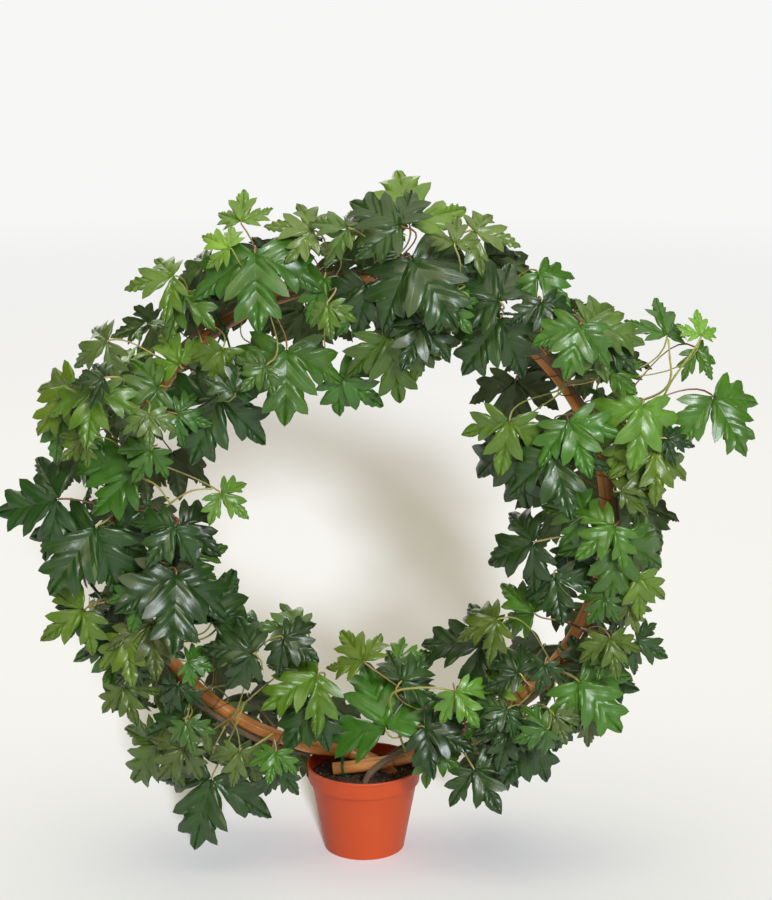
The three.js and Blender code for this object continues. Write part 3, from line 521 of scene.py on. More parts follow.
INNER = [(0.20, 0.085, 0.8, 0.08, 0.08), (0.44, 0.145, 1.5, 0.05, 0.22), (0.72, 0.21, 2, 0.09, 0.38),
         (0.66, 0.075, 2.5, 0.08, 0.54), (0.79, 0.10, 3.6, 0.08, 0.65), (0.90, 0.065, 5, 0.05, 0.82),
         (1, 0, 6, 0.02, 1)]
BASE = 0.02
SHARES = (0, 0.28, 0.62, 1)


def half_outline(corners, stations_per_vein):
    """Stations along a half leaflet: outline place, midrib place and vein number."""
    stations = [(BASE, 0.0, BASE, 0.0)]
    last, last_vein, last_rib = np.array([BASE, 0.0]), 0, BASE
    for u, v, vein, bulge, rib in corners:
        count = max(1, round((vein - last_vein) * stations_per_vein))
        run = np.array([u, v]) - last
        outward = np.array([-run[1], run[0]])
        for step in range(1, count + 1):
            t = step / count
            spot = last + run * t + outward * bulge * 4 * t * (1 - t)
            number = last_vein + (vein - last_vein) * t
            stations.append((spot[0], max(spot[1], 0), last_rib + (rib - last_rib) * t, number))
        last, last_vein, last_rib = np.array([u, v]), vein, rib
    stations[-1] = (1.0, 0.0, 1.0, 6.0)
    return stations


def leaflet_pattern(left, right, stations_per_vein, shares):
    """Spots (u, v, vein number, share from the midrib), upper faces and the outline of a leaflet."""
    spots, known, faces = [], {}, []

    def spot(u, v, number, share):
        key = (round(u, 6), round(v, 6))
        if key not in known:
            known[key] = len(spots)
            spots.append((u, v, number, share))
        return known[key]

    edges = {}
    for sense, corners in ((1, left), (-1, right)):
        stations = half_outline(corners, stations_per_vein)
        grid = [[spot(mix(rib, u, share), sense * v * share, number, share) for share in shares]
                for u, v, rib, number in stations]
        for a, b in zip(grid, grid[1:]):
            for j in range(len(shares) - 1):
                face = [a[j], b[j], b[j + 1], a[j + 1]]
                face = [k for n, k in enumerate(face) if k != face[n - 1]]
                if len(set(face)) == len(face) > 2:
                    faces.append(face if sense > 0 else face[::-1])
        edges[sense] = [line[-1] for line in grid]
    outline = edges[-1] + edges[1][-2:0:-1]
    return np.array(spots), faces, outline


def shallower(corners, share):
    """The half outline again with its cuts filled up by a share."""
    kept = []
    for i, corner in enumerate(corners):
        u, v = corner[:2]
        if corner[2] % 1 == 0.5 and i < len(corners) - 1 and v < min(corners[i - 1][1], corners[i + 1][1]):
            u += share * ((corners[i - 1][0] + corners[i + 1][0]) / 2 - u)
            v += share * ((corners[i - 1][1] + corners[i + 1][1]) / 2 - v)
        kept.append((u, v, *corner[2:]))
    return kept


def patterns(stations_per_vein, shares, fill):
    corners = (MIDDLE_FULL, MIDDLE_SIMPLE, OUTER, INNER)
    full, simple, outer, inner = (shallower(half, fill) for half in corners)
    sides = {"full": (full, full), "simple": (simple, simple),
             "left": (outer, inner), "right": (inner, outer)}
    return {name: leaflet_pattern(*halves, stations_per_vein, shares) for name, halves in sides.items()}


FINE = patterns(stations_per_vein=4, shares=SHARES, fill=0)
FINE_BROAD = patterns(stations_per_vein=4, shares=SHARES, fill=0.42)
COARSE = patterns(stations_per_vein=0.5, shares=(0, 1), fill=0)


# Meshes and objects
def shifted(faces, start):
    return [[k + start for k in face] for face in faces]


def together(parts):
    """Several shapes as one array of points and one list of faces."""
    points, faces = [], []
    for more, skin in parts:
        faces += shifted(skin, len(points))
        points += more.tolist()
    return np.array(points), faces


def mesh_of(name, points, faces, edges=()):
    """A mesh from points in millimetres."""
    mesh = bpy.data.meshes.new(name)
    mesh.from_pydata((np.array(points, float) * MM).tolist(), list(edges), faces)
    return mesh


def mark_points(mesh, name, values, kind="FLOAT", key="value"):
    """Stores a value or a colour at each of a mesh's points."""
    stored = mesh.attributes.new(name, kind, "POINT")
    stored.data.foreach_set(key, np.array(values, np.float32).ravel())


def in_scene(name, data):
    made = bpy.data.objects.new(name, data)
    bpy.context.scene.collection.objects.link(made)
    return made


def plain_mesh(worked_on):
    """The mesh that an object's modifiers leave."""
    bpy.context.view_layer.update()
    return bpy.data.meshes.new_from_object(worked_on.evaluated_get(bpy.context.evaluated_depsgraph_get()))


def shown(name, mesh, finish, angle=52):
    """A piece of the scene in its finish, smooth but for edges sharper than an angle."""
    mesh.materials.clear()
    mesh.materials.append(finish)
    mesh.polygons.foreach_set("use_smooth", np.ones(len(mesh.polygons), bool))
    mesh.set_sharp_from_angle(angle=math.radians(angle))
    mesh.validate()
    mesh.update()
    return in_scene(name, mesh)


# One leafy piece, gathered leaf by leaf
class Foliage:
    """Points and faces with their tint, and marks for blades, for lower faces and for the veins."""

    def __init__(self):
        self.points, self.faces, self.tints, self.blades, self.unders, self.spots = [], [], [], [], [], []
        self.count = 0

    def add(self, points, faces, tint, blade=0, under=0, spots=None):
        n = len(points)
        self.points.append(points)
        self.faces += shifted(faces, self.count)
        self.tints.append(np.broadcast_to(np.array([*tint, 1.0]), (n, 4)))
        self.blades.append(np.broadcast_to(np.asarray(blade, float), (n,)))
        self.unders.append(np.broadcast_to(np.asarray(under, float), (n,)))
        self.spots.append(np.zeros((n, 2)) if spots is None else spots)
        self.count += n

    def piece(self, name, finish):
        mesh = mesh_of(name, np.vstack(self.points), self.faces)
        mark_points(mesh, "tint", np.vstack(self.tints), "FLOAT_COLOR", "color")
        mark_points(mesh, "blade", np.concatenate(self.blades))
        mark_points(mesh, "under", np.concatenate(self.unders))
        corners = np.zeros(len(mesh.loops), np.int32)
        mesh.loops.foreach_get("vertex_index", corners)
        mesh.uv_layers.new(name="blade_map").data.foreach_set(
            "uv", np.vstack(self.spots)[corners].astype(np.float32).ravel())
        return shown(name, mesh, finish)


def ring_faces(rings, sides, closed=False):
    """Faces between rings of points, each ring with the next one."""
    faces = []
    for i in range(rings if closed else rings - 1):
        for j in range(sides):
            k, n = (i + 1) % rings, (j + 1) % sides
            faces.append([i * sides + j, k * sides + j, k * sides + n, i * sides + n])
    return faces


def round_stem(line, radii, sides, wide=(0.3, 0.2, 0.9)):
    """A closed round stem along a line: its points and faces."""
    ways, across, up = frames_along(line, np.array(wide))
    radii = np.interp(np.linspace(0, 1, len(line)), np.linspace(0, 1, len(radii)), radii)
    turns = np.arange(sides) / sides * 2 * math.pi
    rings = (line[:, None] + radii[:, None, None] * (np.cos(turns)[None, :, None] * across[:, None]
             + np.sin(turns)[None, :, None] * up[:, None]))
    points = np.vstack([rings.reshape(-1, 3), line[0] - ways[0] * radii[0] * 0.4,
                        line[-1] + ways[-1] * radii[-1] * 0.8])
    faces = ring_faces(len(line), sides)
    foot, tip = len(points) - 2, len(points) - 1
    last = (len(line) - 1) * sides
    for j in range(sides):
        k = (j + 1) % sides
        faces.append([foot, j, k])
        faces.append([tip, last + k, last + j])
    return points, faces


# Leaf tones. Painted sheen: G is a greyer green that stands for the grey sheen of leaves seen edge-on, on
# the front leaves that carry it; the added leaves draw it as one more tone.
TONES = {"D": (28, 61, 15), "M": (56, 99, 20), "L": (90, 132, 38), "O": (72, 102, 18), "G": (74, 98, 40)}
STALK_TONES = [(166, 148, 88), (146, 142, 74), (126, 132, 58), (142, 112, 66), (120, 78, 50)]


def leaf_tint(tone, draw):
    light = 0.72 + 0.56 * draw()
    warmth = np.array([0.85 + 0.35 * draw(), 1, 0.8 + 0.4 * draw()])
    return np.clip(linear(TONES[tone]) * light * warmth, 0.003, 0.9)


def blade_height(number, share, length):
    """How far the blade swells up between its veins."""
    swell = np.sin(math.pi * number) ** 2 * np.minimum(1, 2.0 * share) * (1 - 0.6 * share)
    return length * (0.020 * swell + 0.028 * np.sin(math.pi * np.minimum(1, 1.05 * share)))


def leaf_blade(foliage, pose, full, tint, seed, broad_leaf=False):
    """Three thin closed leaflets with lobes, veins and a rim that rolls down a little."""
    draw = draws(seed * 31 + 7)
    for kind, turn, length, slope in leaflets_of(pose, full):
        spots, faces, outline = (FINE_BROAD if broad_leaf else FINE)[kind]
        u, v, number, share = spots.T
        broad = (0.99 if broad_leaf else 0.94) + 0.14 * draw()
        points, up = on_leaflet(pose, turn, length, slope, u, v * broad)
        phase = 6.28 * draw()
        arch = 0.026 * np.cos(2 * math.pi * number) * np.minimum(1, 3 * u)
        wave = (0.022 * np.sin(9 * u + phase) - arch) * share ** 2 - 0.08 * np.abs(v) * share ** 3
        points = points + up * ((blade_height(number, share, length) + wave * length)[:, None])
        half = BLADE_HALF - BLADE_THINNING * share
        rib = RIB_HEIGHT * np.clip(1 - 5 * share, 0, 1) * (1 - 0.8 * u)
        upper, lower = points + up * half[:, None], points - up * (half + rib)[:, None]
        n = len(points)
        rim = [[a, a + n, b + n, b] for a, b in zip(outline, outline[1:] + outline[:1])]
        shell = faces + shifted([face[::-1] for face in faces], n) + rim
        marks = np.stack([number / 6, share], axis=1)
        shade = tint * (0.94 + 0.12 * draw())
        foliage.add(np.vstack([upper, lower]), shell, shade, 1,
                    np.concatenate([np.zeros(n), np.ones(n)]), np.vstack([marks, marks]))


def stalk_line(pose, root, root_way, count=12):
    neck = pose["hub"] - pose["aim"] * STALK_BACK
    span = np.linalg.norm(neck - root)
    leave = unit(unit(neck - root) + 0.3 * root_way)
    arrive = neck - pose["aim"] * 0.3 * span - pose["normal"] * 0.2 * span
    arrive = arrive + pose["side"] * pose["sway"] * span
    t = np.linspace(0, 1, count)[:, None]
    return (root * (1 - t) ** 3 + (root + leave * 0.3 * span) * 3 * t * (1 - t) ** 2
            + arrive * 3 * t * t * (1 - t) + neck * t ** 3)


def leaf_stalk(foliage, pose, root, root_way, tint):
    line = stalk_line(pose, root, root_way)
    line = np.vstack([line, pose["hub"], pose["hub"] + pose["aim"] * 2.4 - pose["normal"] * 0.3])
    size = 0.75 + 0.25 * clamp(pose["size"] / 80, 0.4, 1.1)
    radii = np.array([1.5, 1.15, 0.95, 0.9, 1.0, 1.25, 0.7]) * size
    points, faces = round_stem(line, radii, sides=6)
    foliage.add(points, faces, tint)


def stem_place(shoot, share):
    """A place on a shoot's stem and the way that the stem runs there."""
    line = shoot["line"]
    at = clamp(share, 0.15, 1) * (len(line) - 1)
    start = min(int(at), len(line) - 2)
    run = line[start + 1] - line[start]
    return line[start] + run * (at - start), unit(run)


# Coarse shapes of what is placed, so that the added leaves keep clear of the others
PLACED = []


def coarse_leaf(pose, full, root, root_way):
    parts = []
    for kind, *leaflet in leaflets_of(pose, full):
        spots, faces, _ = COARSE[kind]
        parts.append((on_leaflet(pose, *leaflet, spots[:, 0], spots[:, 1])[0], faces))
    line = stalk_line(pose, root, root_way, count=7)[1:]
    return together(parts + [round_stem(line, [1.2], sides=3)])


def keep_out(points, faces):
    PLACED.append((points.min(0), points.max(0), BVHTree.FromPolygons(points.tolist(), faces)))


def is_clear(points, faces):
    low, high = points.min(0), points.max(0)
    tree = BVHTree.FromPolygons(points.tolist(), faces)
    return not any((other[0] < high).all() and (other[1] > low).all() and tree.overlap(other[2])
                   for other in PLACED)


# Finishes
def add(tree, kind, values=None, **settings):
    """A node with its settings, and its inputs given as numbers or as other nodes' outputs."""
    node = tree.nodes.new(kind)
    for key, value in settings.items():
        setattr(node, key, value)
    for key, value in (values or {}).items():
        if isinstance(value, bpy.types.NodeSocket):
            tree.links.new(value, node.inputs[key])
        else:
            node.inputs[key].default_value = value
    return node


def coloured(value):
    """Three numbers are a colour as a picture gives it. Anything else stays as it is."""
    return (*linear(value), 1.0) if isinstance(value, tuple) and len(value) == 3 else value


class Look:
    """A finish in the making. Each call adds a node and gives what the node puts out."""

    def __init__(self, name, **values):
        self.material = bpy.data.materials.new(name)
        self.material.use_nodes = True
        self.tree = self.material.node_tree
        self.shader = self.tree.nodes["Principled BSDF"]
        for key, value in values.items():
            self.shader.inputs[key.replace("_", " ").title().replace("Ior", "IOR")].default_value = value
        self.where = add(self.tree, "ShaderNodeTexCoord").outputs["Object"]

    def node(self, kind, values=None, output=0, **settings):
        return add(self.tree, kind, values, **settings).outputs[output]

    def sum_of(self, operation, *terms):
        return self.node("ShaderNodeMath", dict(enumerate(terms)), operation=operation)

    def times(self, *terms):
        return self.sum_of("MULTIPLY", *terms)

    def between(self, value, low, high, to_low=0.0, to_high=1.0):
        keys = ("Value", "From Min", "From Max", "To Min", "To Max")
        return self.node("ShaderNodeMapRange", dict(zip(keys, (value, low, high, to_low, to_high))))

    def blended(self, share, first, second):
        values = {0: share, 6: coloured(first), 7: coloured(second)}
        return self.node("ShaderNodeMix", values, 2, data_type="RGBA")

    def brighter(self, colour, scale):
        return self.node("ShaderNodeVectorMath", {0: colour, "Scale": scale}, operation="SCALE")

    def grain(self, scale, detail=3.0, roughness=0.5, where=None):
        where = self.where if where is None else where
        values = {"Vector": where, "Scale": scale, "Detail": detail, "Roughness": roughness}
        return self.node("ShaderNodeTexNoise", values, "Fac")

    def cells(self, scale, **settings):
        values = {"Vector": self.where, "Scale": scale}
        return self.node("ShaderNodeTexVoronoi", values, "Distance", **settings)

    def given(self, name, output="Fac"):
        return self.node("ShaderNodeAttribute", None, output, attribute_name=name)

    def axes(self):
        return add(self.tree, "ShaderNodeSeparateXYZ", {0: self.where}).outputs

    def distance(self, vector):
        return self.node("ShaderNodeVectorMath", {0: vector}, "Value", operation="LENGTH")

    def swept_place(self, stretch, girth):
        """Coordinates that run along a swept stem, so that its grain does too, and the way along it."""
        along = self.given("along")
        turn = self.times(self.given("around"), 2 * math.pi)
        return self.node("ShaderNodeCombineXYZ", {
            0: self.times(along, stretch),
            1: self.times(self.sum_of("COSINE", turn), girth),
            2: self.times(self.sum_of("SINE", turn), girth)}), along

    def join(self, **outputs):
        for key, output in outputs.items():
            self.tree.links.new(output, self.shader.inputs[key.replace("_", " ").title()])
        return self.material

    def done(self, surface, noise, rough, height=None, bump=()):
        """Ends the finish: its colour, its roughness by a noise, and a relief with strength and depth."""
        if bump:
            self.relief(noise if height is None else height, *bump)
        return self.join(base_color=surface, roughness=self.between(noise, 0.3, 0.7, *rough))

    def relief(self, height, strength, depth):
        values = {"Height": height, "Strength": strength, "Distance": depth}
        self.join(normal=self.node("ShaderNodeBump", values))

    def mottled(self, noise, edges, dark, pale, rough, bump=(), layer=None):
        """Ends a finish of two tones that a noise gives, under a layer with a share and a colour."""
        surface = self.blended(self.between(noise, *edges), dark, pale)
        if layer:
            surface = self.blended(layer[0], surface, layer[1])
        return self.done(surface, noise, rough, bump=bump)


def leaf_finish():
    look = Look("leaf", coat_weight=0.24, coat_roughness=0.27, specular_ior_level=0.5)
    spot = look.node("ShaderNodeUVMap", uv_map="blade_map")
    marks = add(look.tree, "ShaderNodeSeparateXYZ", {0: spot}).outputs
    number, share = look.times(marks[0], 6.0), marks[1]
    blade, under, tint = look.given("blade"), look.given("under"), look.given("tint", "Color")
    beside = look.sum_of("ABSOLUTE", look.sum_of("SUBTRACT", number, look.sum_of("ROUND", number)))
    width = look.between(share, 0.0, 1.0, 0.10, 0.035)
    branch = look.sum_of("SUBTRACT", 1.0, look.sum_of("DIVIDE", beside, width))
    branch = look.sum_of("MAXIMUM", branch, 0.0)
    branch = look.times(branch, look.between(share, 0.80, 1.0, 0.85, 0.1))
    midrib = look.between(share, 0.0, 0.06, 1.0, 0.0)
    vein = look.times(look.sum_of("MAXIMUM", branch, midrib), blade)
    cells = look.cells(240.0, feature="DISTANCE_TO_EDGE")
    net = look.times(look.between(cells, 0.0, 0.10, 1.0, 0.0), blade)
    clouds = look.between(look.grain(34.0, detail=4.0, roughness=0.6), 0.3, 0.7, 0.78, 1.24)
    surface = look.brighter(tint, clouds)
    pale = look.blended(0.28, look.brighter(surface, 1.7), (178, 190, 120))
    surface = look.blended(look.times(net, 0.04), surface, pale)
    surface = look.blended(look.times(vein, 0.16), surface, pale)
    beneath = look.blended(0.45, surface, (112, 128, 82))
    surface = look.blended(look.times(under, blade), surface, beneath)
    rough = look.between(look.grain(60.0), 0.3, 0.7, 0.30, 0.46)
    rough = look.sum_of("ADD", rough, look.times(under, 0.2))
    height = look.sum_of("ADD", look.times(vein, -0.8), look.times(net, -0.25))
    height = look.sum_of("ADD", height, look.times(look.grain(400.0), 0.3))
    look.relief(height, 0.32, 0.0005)
    return look.join(base_color=surface, roughness=rough)


def cane_finish():
    look = Look("cane", coat_weight=0.35, coat_roughness=0.25)
    fibre, along = look.swept_place(9.0, 2.4)
    streaks = look.grain(3.2, detail=5.0, roughness=0.62, where=fibre)
    broad = look.grain(0.9, detail=2.0, where=fibre)
    # Painted shade and painted light: by its place on the object, the cane is coloured darker towards its
    # upper left and lighter towards its lower right.
    axes = look.axes()
    left_top = look.sum_of("SUBTRACT", axes[2], axes[0])
    painted_shade_upper_left = look.between(left_top, 0.55, 0.95, 0.0, 0.75)
    painted_light_lower_right = look.between(left_top, 0.20, -0.10, 0.0, 0.75)
    surface = look.blended(look.between(streaks, 0.35, 0.68), (212, 128, 50), (236, 166, 90))
    surface = look.blended(look.between(broad, 0.45, 0.75, 0.0, 0.55), surface, (172, 92, 40))
    surface = look.blended(painted_shade_upper_left, surface, (158, 80, 36))
    surface = look.blended(painted_light_lower_right, surface, (216, 150, 96))
    ring = look.sum_of("SUBTRACT", look.sum_of("FRACT", look.times(along, 5.6)), 0.5)
    joint = look.between(look.sum_of("ABSOLUTE", ring), 0.0, 0.012, 0.8, 0.0)
    surface = look.blended(joint, surface, (96, 54, 30))
    surface = look.blended(look.between(look.cells(130.0), 0.02, 0.13, 0.55, 0.0), surface, (90, 52, 30))
    height = look.sum_of("SUBTRACT", streaks, look.times(joint, 0.6))
    return look.done(surface, streaks, rough=(0.36, 0.55), height=height, bump=(0.35, 0.0008))


def bark_finish():
    look = Look("bark", specular_ior_level=0.3)
    ridges = look.grain(2.4, detail=6.0, roughness=0.7, where=look.swept_place(40.0, 2.0)[0])
    moss = look.between(look.grain(45.0), 0.5, 0.72, 0.0, 0.6)
    return look.mottled(ridges, edges=(0.3, 0.7), dark=(86, 64, 50), pale=(146, 122, 102),
                        rough=(0.86, 0.68), bump=(0.8, 0.001), layer=(moss, (112, 108, 70)))


def tendril_finish():
    look = Look("tendril")
    return look.mottled(look.grain(60.0), edges=(0.35, 0.65), dark=(84, 54, 38), pale=(132, 98, 60),
                        rough=(0.5, 0.7))


def runner_finish():
    look = Look("young_stem", specular_ior_level=0.45)
    streaks = look.grain(3.0, where=look.swept_place(30.0, 1.5)[0])
    flush = look.between(look.grain(26.0), 0.5, 0.7, 0.0, 0.6)
    return look.mottled(streaks, edges=(0.35, 0.65), dark=(134, 142, 60), pale=(168, 164, 92),
                        rough=(0.4, 0.55), bump=(0.2, 0.0003), layer=(flush, (160, 112, 72)))


def tie_finish():
    look = Look("tie", specular_ior_level=0.5)
    return look.mottled(look.grain(90.0), edges=(0.3, 0.7), dark=(14, 92, 50), pale=(34, 128, 74),
                        rough=(0.36, 0.55), bump=(0.25, 0.0005))


def pot_finish():
    look = Look("pot_plastic", specular_ior_level=0.5)
    clouds = look.grain(14.0)
    dust = look.grain(150.0, detail=4.0, roughness=0.65)
    surface = look.blended(look.between(clouds, 0.3, 0.7), (194, 67, 15), (203, 77, 22))
    surface = look.blended(look.between(dust, 0.58, 0.8, 0.0, 0.22), surface, (220, 124, 86))
    # Painted shade: the inner faces of the wall, below the top of the lip, are coloured a darker red where
    # the inside of the pot lies in shade.
    axes = look.axes()
    far = look.distance(look.node("ShaderNodeCombineXYZ", {0: axes[0], 1: axes[1]}))
    wall = look.sum_of("SUBTRACT", far, look.between(axes[2], 0.0, 0.108, 0.0475, 0.0665))
    inside = look.between(wall, 0.0015, -0.0005, 0.0, 0.75)
    inside = look.times(inside, look.between(axes[2], 0.1062, 0.1050))
    surface = look.blended(inside, surface, (146, 46, 20))
    height = look.sum_of("ADD", look.times(clouds, 0.6), look.times(dust, 0.4))
    return look.done(surface, dust, rough=(0.38, 0.52), height=height, bump=(0.12, 0.0006))


def soil_finish(name, dark, pale, scale):
    look = Look(name, specular_ior_level=0.25)
    lumps = look.grain(scale, detail=6.0, roughness=0.7)
    specks = look.between(look.cells(420.0), 0.05, 0.16, 0.5, 0.0)
    return look.mottled(lumps, edges=(0.35, 0.65), dark=dark, pale=pale, rough=(0.95, 0.78),
                        bump=(0.9, 0.002), layer=(specks, (120, 112, 100)))


LEAF = leaf_finish()
CANE = cane_finish()
BARK = bark_finish()
TENDRIL = tendril_finish()
RUNNER = runner_finish()
TIE = tie_finish()
PLASTIC = pot_finish()
SOIL = soil_finish("soil", dark=(34, 25, 21), pale=(76, 58, 47), scale=120.0)
CRUMB = soil_finish("crumb", dark=(52, 38, 30), pale=(104, 84, 68), scale=260.0)
PALE_GRIT = soil_finish("pale_grit", dark=(186, 180, 170), pale=(224, 220, 212), scale=300.0)


# Leafy shoots, one fine piece for each shoot's solid
def knots_on(line, radii, shares):
    """Radii at each place of a stem, a little thicker where its leaves leave it."""
    at = np.linspace(0, 1, len(line))
    thick = np.interp(at, np.linspace(0, 1, len(radii)), radii)
    for share in shares:
        thick = thick + 0.6 * np.exp(-((at - share) / 0.05) ** 2)
    return thick


for shoot in front_shoots + back_shoots:
    foliage = Foliage()
    draw = draws(int(shoot["angle"] * 10) + SHOOT_SEED)
    stalk_tone = STALK_TONES[int(draw() * len(STALK_TONES))]
    line = np.vstack([shoot["root"] - shoot["way"] * 2.6, shoot["line"]])
    shares = []
    first = True
    for index, leaf in enumerate(shoot["leaves"]):
        if leaf["try"] is None:
            continue
        pose = leaf_pose(leaf, leaf["try"])
        full = leaf["row"][3] >= FULL_CUT_LEAF
        share = 1 if first else 0.97 - 0.6 * index / max(len(shoot["leaves"]), 4) + pose["slide"]
        first = False
        root, root_way = stem_place(shoot, share)
        shares.append(clamp(share, 0.15, 1))
        tone = leaf["row"][4]
        own = draws(leaf["seed"] + TONE_SEED)
        stalk = linear(stalk_tone if own() < 0.6 else STALK_TONES[int(own() * len(STALK_TONES))])
        old = tone == "D" or (tone == "M" and full)
        leaf_blade(foliage, pose, full, leaf_tint(tone, own), leaf["seed"], old)
        leaf_stalk(foliage, pose, root, root_way, stalk)
        keep_out(*coarse_leaf(pose, full, root, root_way))
    points, faces = round_stem(line, knots_on(line, [2.3, 1.9, 1.7, 1.4], shares), sides=8)
    foliage.add(points, faces, linear(stalk_tone) * 0.85)
    piece = foliage.piece("leaves_" + shoot["name"][6:], LEAF)
    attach(piece, "root")
    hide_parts(shoot["name"])
    keep_out(points, faces)

for name in VINES:
    keep_out(*round_stem(evenly(vine_line(name), 70), [VINE_RADIUS], sides=6))
keep_out(*round_stem(evenly(HOOP_SMOOTH, 90), [CANE_RADIUS], sides=8))


def from_front(x, z, depth):
    """The place at some depth that the viewer sees at x and z of the reading plane."""
    scale = (depth - VIEWPOINT[1]) / (READ_Y - VIEWPOINT[1])
    return VIEWPOINT + (place(x, READ_Y, z) - VIEWPOINT) * scale


# Runners: thin green stems that leave a main stem and stay bare
def runner(vine, spots):
    first = clock_angle(spots[0][0], spots[0][1])
    line = smooth_line([vine_point(vine, first)] + [from_front(*spot) for spot in spots], 12)
    radii = np.linspace(1.5, 0.9, len(line))
    for knot in np.linspace(0.1, 0.95, 5):
        radii = radii + 0.35 * np.exp(-((np.linspace(0, 1, len(line)) - knot) / 0.02) ** 2)
    return line, radii


runners = [runner(*row) for row in RUNNERS]
for line, _ in runners:
    keep_out(*round_stem(evenly(line, 14), [2.0], sides=5))


def keep_in_sight(spot, radius):
    """Keeps added leaves from hiding a place from the viewer."""
    sight = np.array([spot, spot + (VIEWPOINT - spot) * 0.08])
    keep_out(*round_stem(sight, [radius], sides=6))


for first, last in BARE_CANE:
    for angle in np.linspace(first, last, 2 + int((last - first) / 3)):
        keep_in_sight(cane_at(angle)[0], radius=7.0)
for spot in CANE_FRONT:
    keep_in_sight(np.array(spot), radius=9.0)


# Added leaves: the few that the solids left out, the smaller ones, and more that fill the gaps
def filling_leaves():
    """Leaves of the front between the ones that were read."""
    leaves = []
    for first, last, count, inmost, outmost in FILLING:
        for i in range(count):
            seed = FILLING_SEED + len(leaves)
            draw = draws(seed)
            turn = math.radians(first + (i + draw()) * (last - first) / count)
            away = mix(inmost, outmost, draw())
            x, z = near_ring(turn, away)
            aim = outward_aim(turn, away / 60, 0.5) + 110 * (draw() - 0.5)
            tone = "OLMO"[i % 4] if x > 270 and z > 430 else "DOMDMG"[i % 6]
            leaves.append({"row": (x, z, aim, 34 + 22 * draw(), tone), "seed": seed, "back": False})
    return leaves


def back_filling_leaves():
    """Leaves of the back between the ones that have solids."""
    leaves = []
    span = (BACK_FILLING["last"] - BACK_FILLING["first"]) / BACK_FILLING["count"]
    for i in range(BACK_FILLING["count"]):
        seed = BACK_FILLING_SEED + i
        draw = draws(seed)
        turn = math.radians(BACK_FILLING["first"] + (i + draw()) * span)
        away = mix(*BACK_REACH, i * GOLDEN % 1)
        x, z = near_ring(turn, away)
        aim = outward_aim(turn, away / 70, 0.6) + 100 * (draw() - 0.5)
        depth = mix(*BACK_DEPTH, draw())
        row = (x, z, aim, 42 + 24 * draw(), "DMDOMG"[i % 6])
        leaves.append({"row": row, "seed": seed, "back": True, "depth": depth})
    return leaves


def rim_leaves():
    """Leaves on the outer rim, between the front and the back, which look outwards."""
    leaves = []
    for i in range(RIM["count"]):
        seed = RIM_SEED + i
        draw = draws(seed)
        angle = RIM["first"] + (i + draw()) * (RIM["last"] - RIM["first"]) / RIM["count"]
        away = mix(*RIM["away"], draw())
        depth = mix(*RIM["depth"], i * GOLDEN % 1)
        row = (*near_ring(math.radians(angle), away), 0, 40 + 22 * draw(), "DMLMDO"[i % 6])
        leaves.append({"row": row, "seed": seed, "back": depth > -12, "rim": depth})
    return leaves


def rim_pose(leaf, attempt):
    x, z, _, length, _ = leaf["row"]
    draw = try_draws(leaf, attempt)
    radial = unit(place(x, 0, z - RING_CENTRE))
    shake = np.array([draw() - 0.5, draw() - 0.5, draw() - 0.5])
    hub = place(x, leaf["rim"], z) + shake * 26
    normal = unit(radial + place(0, 0.9 * (draw() - 0.5), 0.3) + 0.5 * shake)
    aim = place(0.8 * (draw() - 0.5), 1.2 if draw() < 0.5 else -1.2, -0.9 * draw())
    aim = unit(aim - normal * (aim @ normal))
    bend, spread = 0.35 + 0.5 * draw(), SPREAD + 16 * (draw() - 0.5)
    return posed(hub, aim, normal, length, bend=bend, spread=math.radians(spread),
                 droop=0.1 + 0.3 * draw(), slide=0, sway=0.5 * (draw() - 0.5))


def add_leaves(name, leaves, tries, step):
    """A piece of added leaves, each at its first try that is clear of everything placed.

    For the smaller and filling leaves of the front, each further try lies a step further forward.
    """
    foliage = Foliage()
    for leaf in leaves:
        x, z, _, length, tone = leaf["row"]
        shoot = nearest_shoot(back_shoots if leaf["back"] else front_shoots, x, z)
        full = length >= FULL_CUT_LEAF
        for attempt in range(tries):
            if "rim" in leaf:
                pose = rim_pose(leaf, attempt)
            else:
                forward = step * (10 + attempt) if leaf["seed"] >= SMALL_SEED else 0
                pose = leaf_pose(leaf, attempt, forward)
            root, root_way = stem_place(shoot, 0.25 + 0.75 * draws(leaf["seed"] + attempt)())
            shape = coarse_leaf(pose, full, root, root_way)
            if is_clear(*shape):
                own = draws(leaf["seed"] + TONE_SEED)
                leaf_blade(foliage, pose, full, leaf_tint(tone, own), leaf["seed"])
                leaf_stalk(foliage, pose, root, root_way, linear(STALK_TONES[int(own() * 4)]))
                keep_out(*shape)
                break
    piece = foliage.piece(name, LEAF)
    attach(piece, "root")


left_out = [leaf for shoot in front_shoots for leaf in shoot["leaves"] if leaf["try"] is None]
small = [{"row": row, "seed": SMALL_SEED + i, "back": False} for i, row in enumerate(SMALL_LEAVES)]
add_leaves("leaves_small_front", left_out + small, tries=90, step=0.4)
add_leaves("leaves_filling_front", filling_leaves(), tries=50, step=0.3)
add_leaves("leaves_rim", rim_leaves(), tries=40, step=0)
add_leaves("leaves_filling_back", back_filling_leaves(), tries=40, step=0)


# Geometry Nodes trees: what all of them start and end with, and the one that sweeps stems
def start_tree(name, **inputs):
    """A tree that takes geometry, the named inputs and a finish, with the outputs of its input node."""
    tree = bpy.data.node_groups.new(name, "GeometryNodeTree")
    for title, kind in {"Geometry": "Geometry", **inputs, "Finish": "Material"}.items():
        tree.interface.new_socket(title, in_out="INPUT", socket_type="NodeSocket" + kind)
    tree.interface.new_socket("Geometry", in_out="OUTPUT", socket_type="NodeSocketGeometry")
    return tree, tree.nodes.new("NodeGroupInput").outputs


def end_tree(tree, body, finish):
    body = add(tree, "GeometryNodeRealizeInstances", {0: body}).outputs[0]
    body = add(tree, "GeometryNodeSetMaterial", {"Geometry": body, "Material": finish}).outputs[0]
    tree.links.new(body, tree.nodes.new("NodeGroupOutput").inputs[0])
    return tree


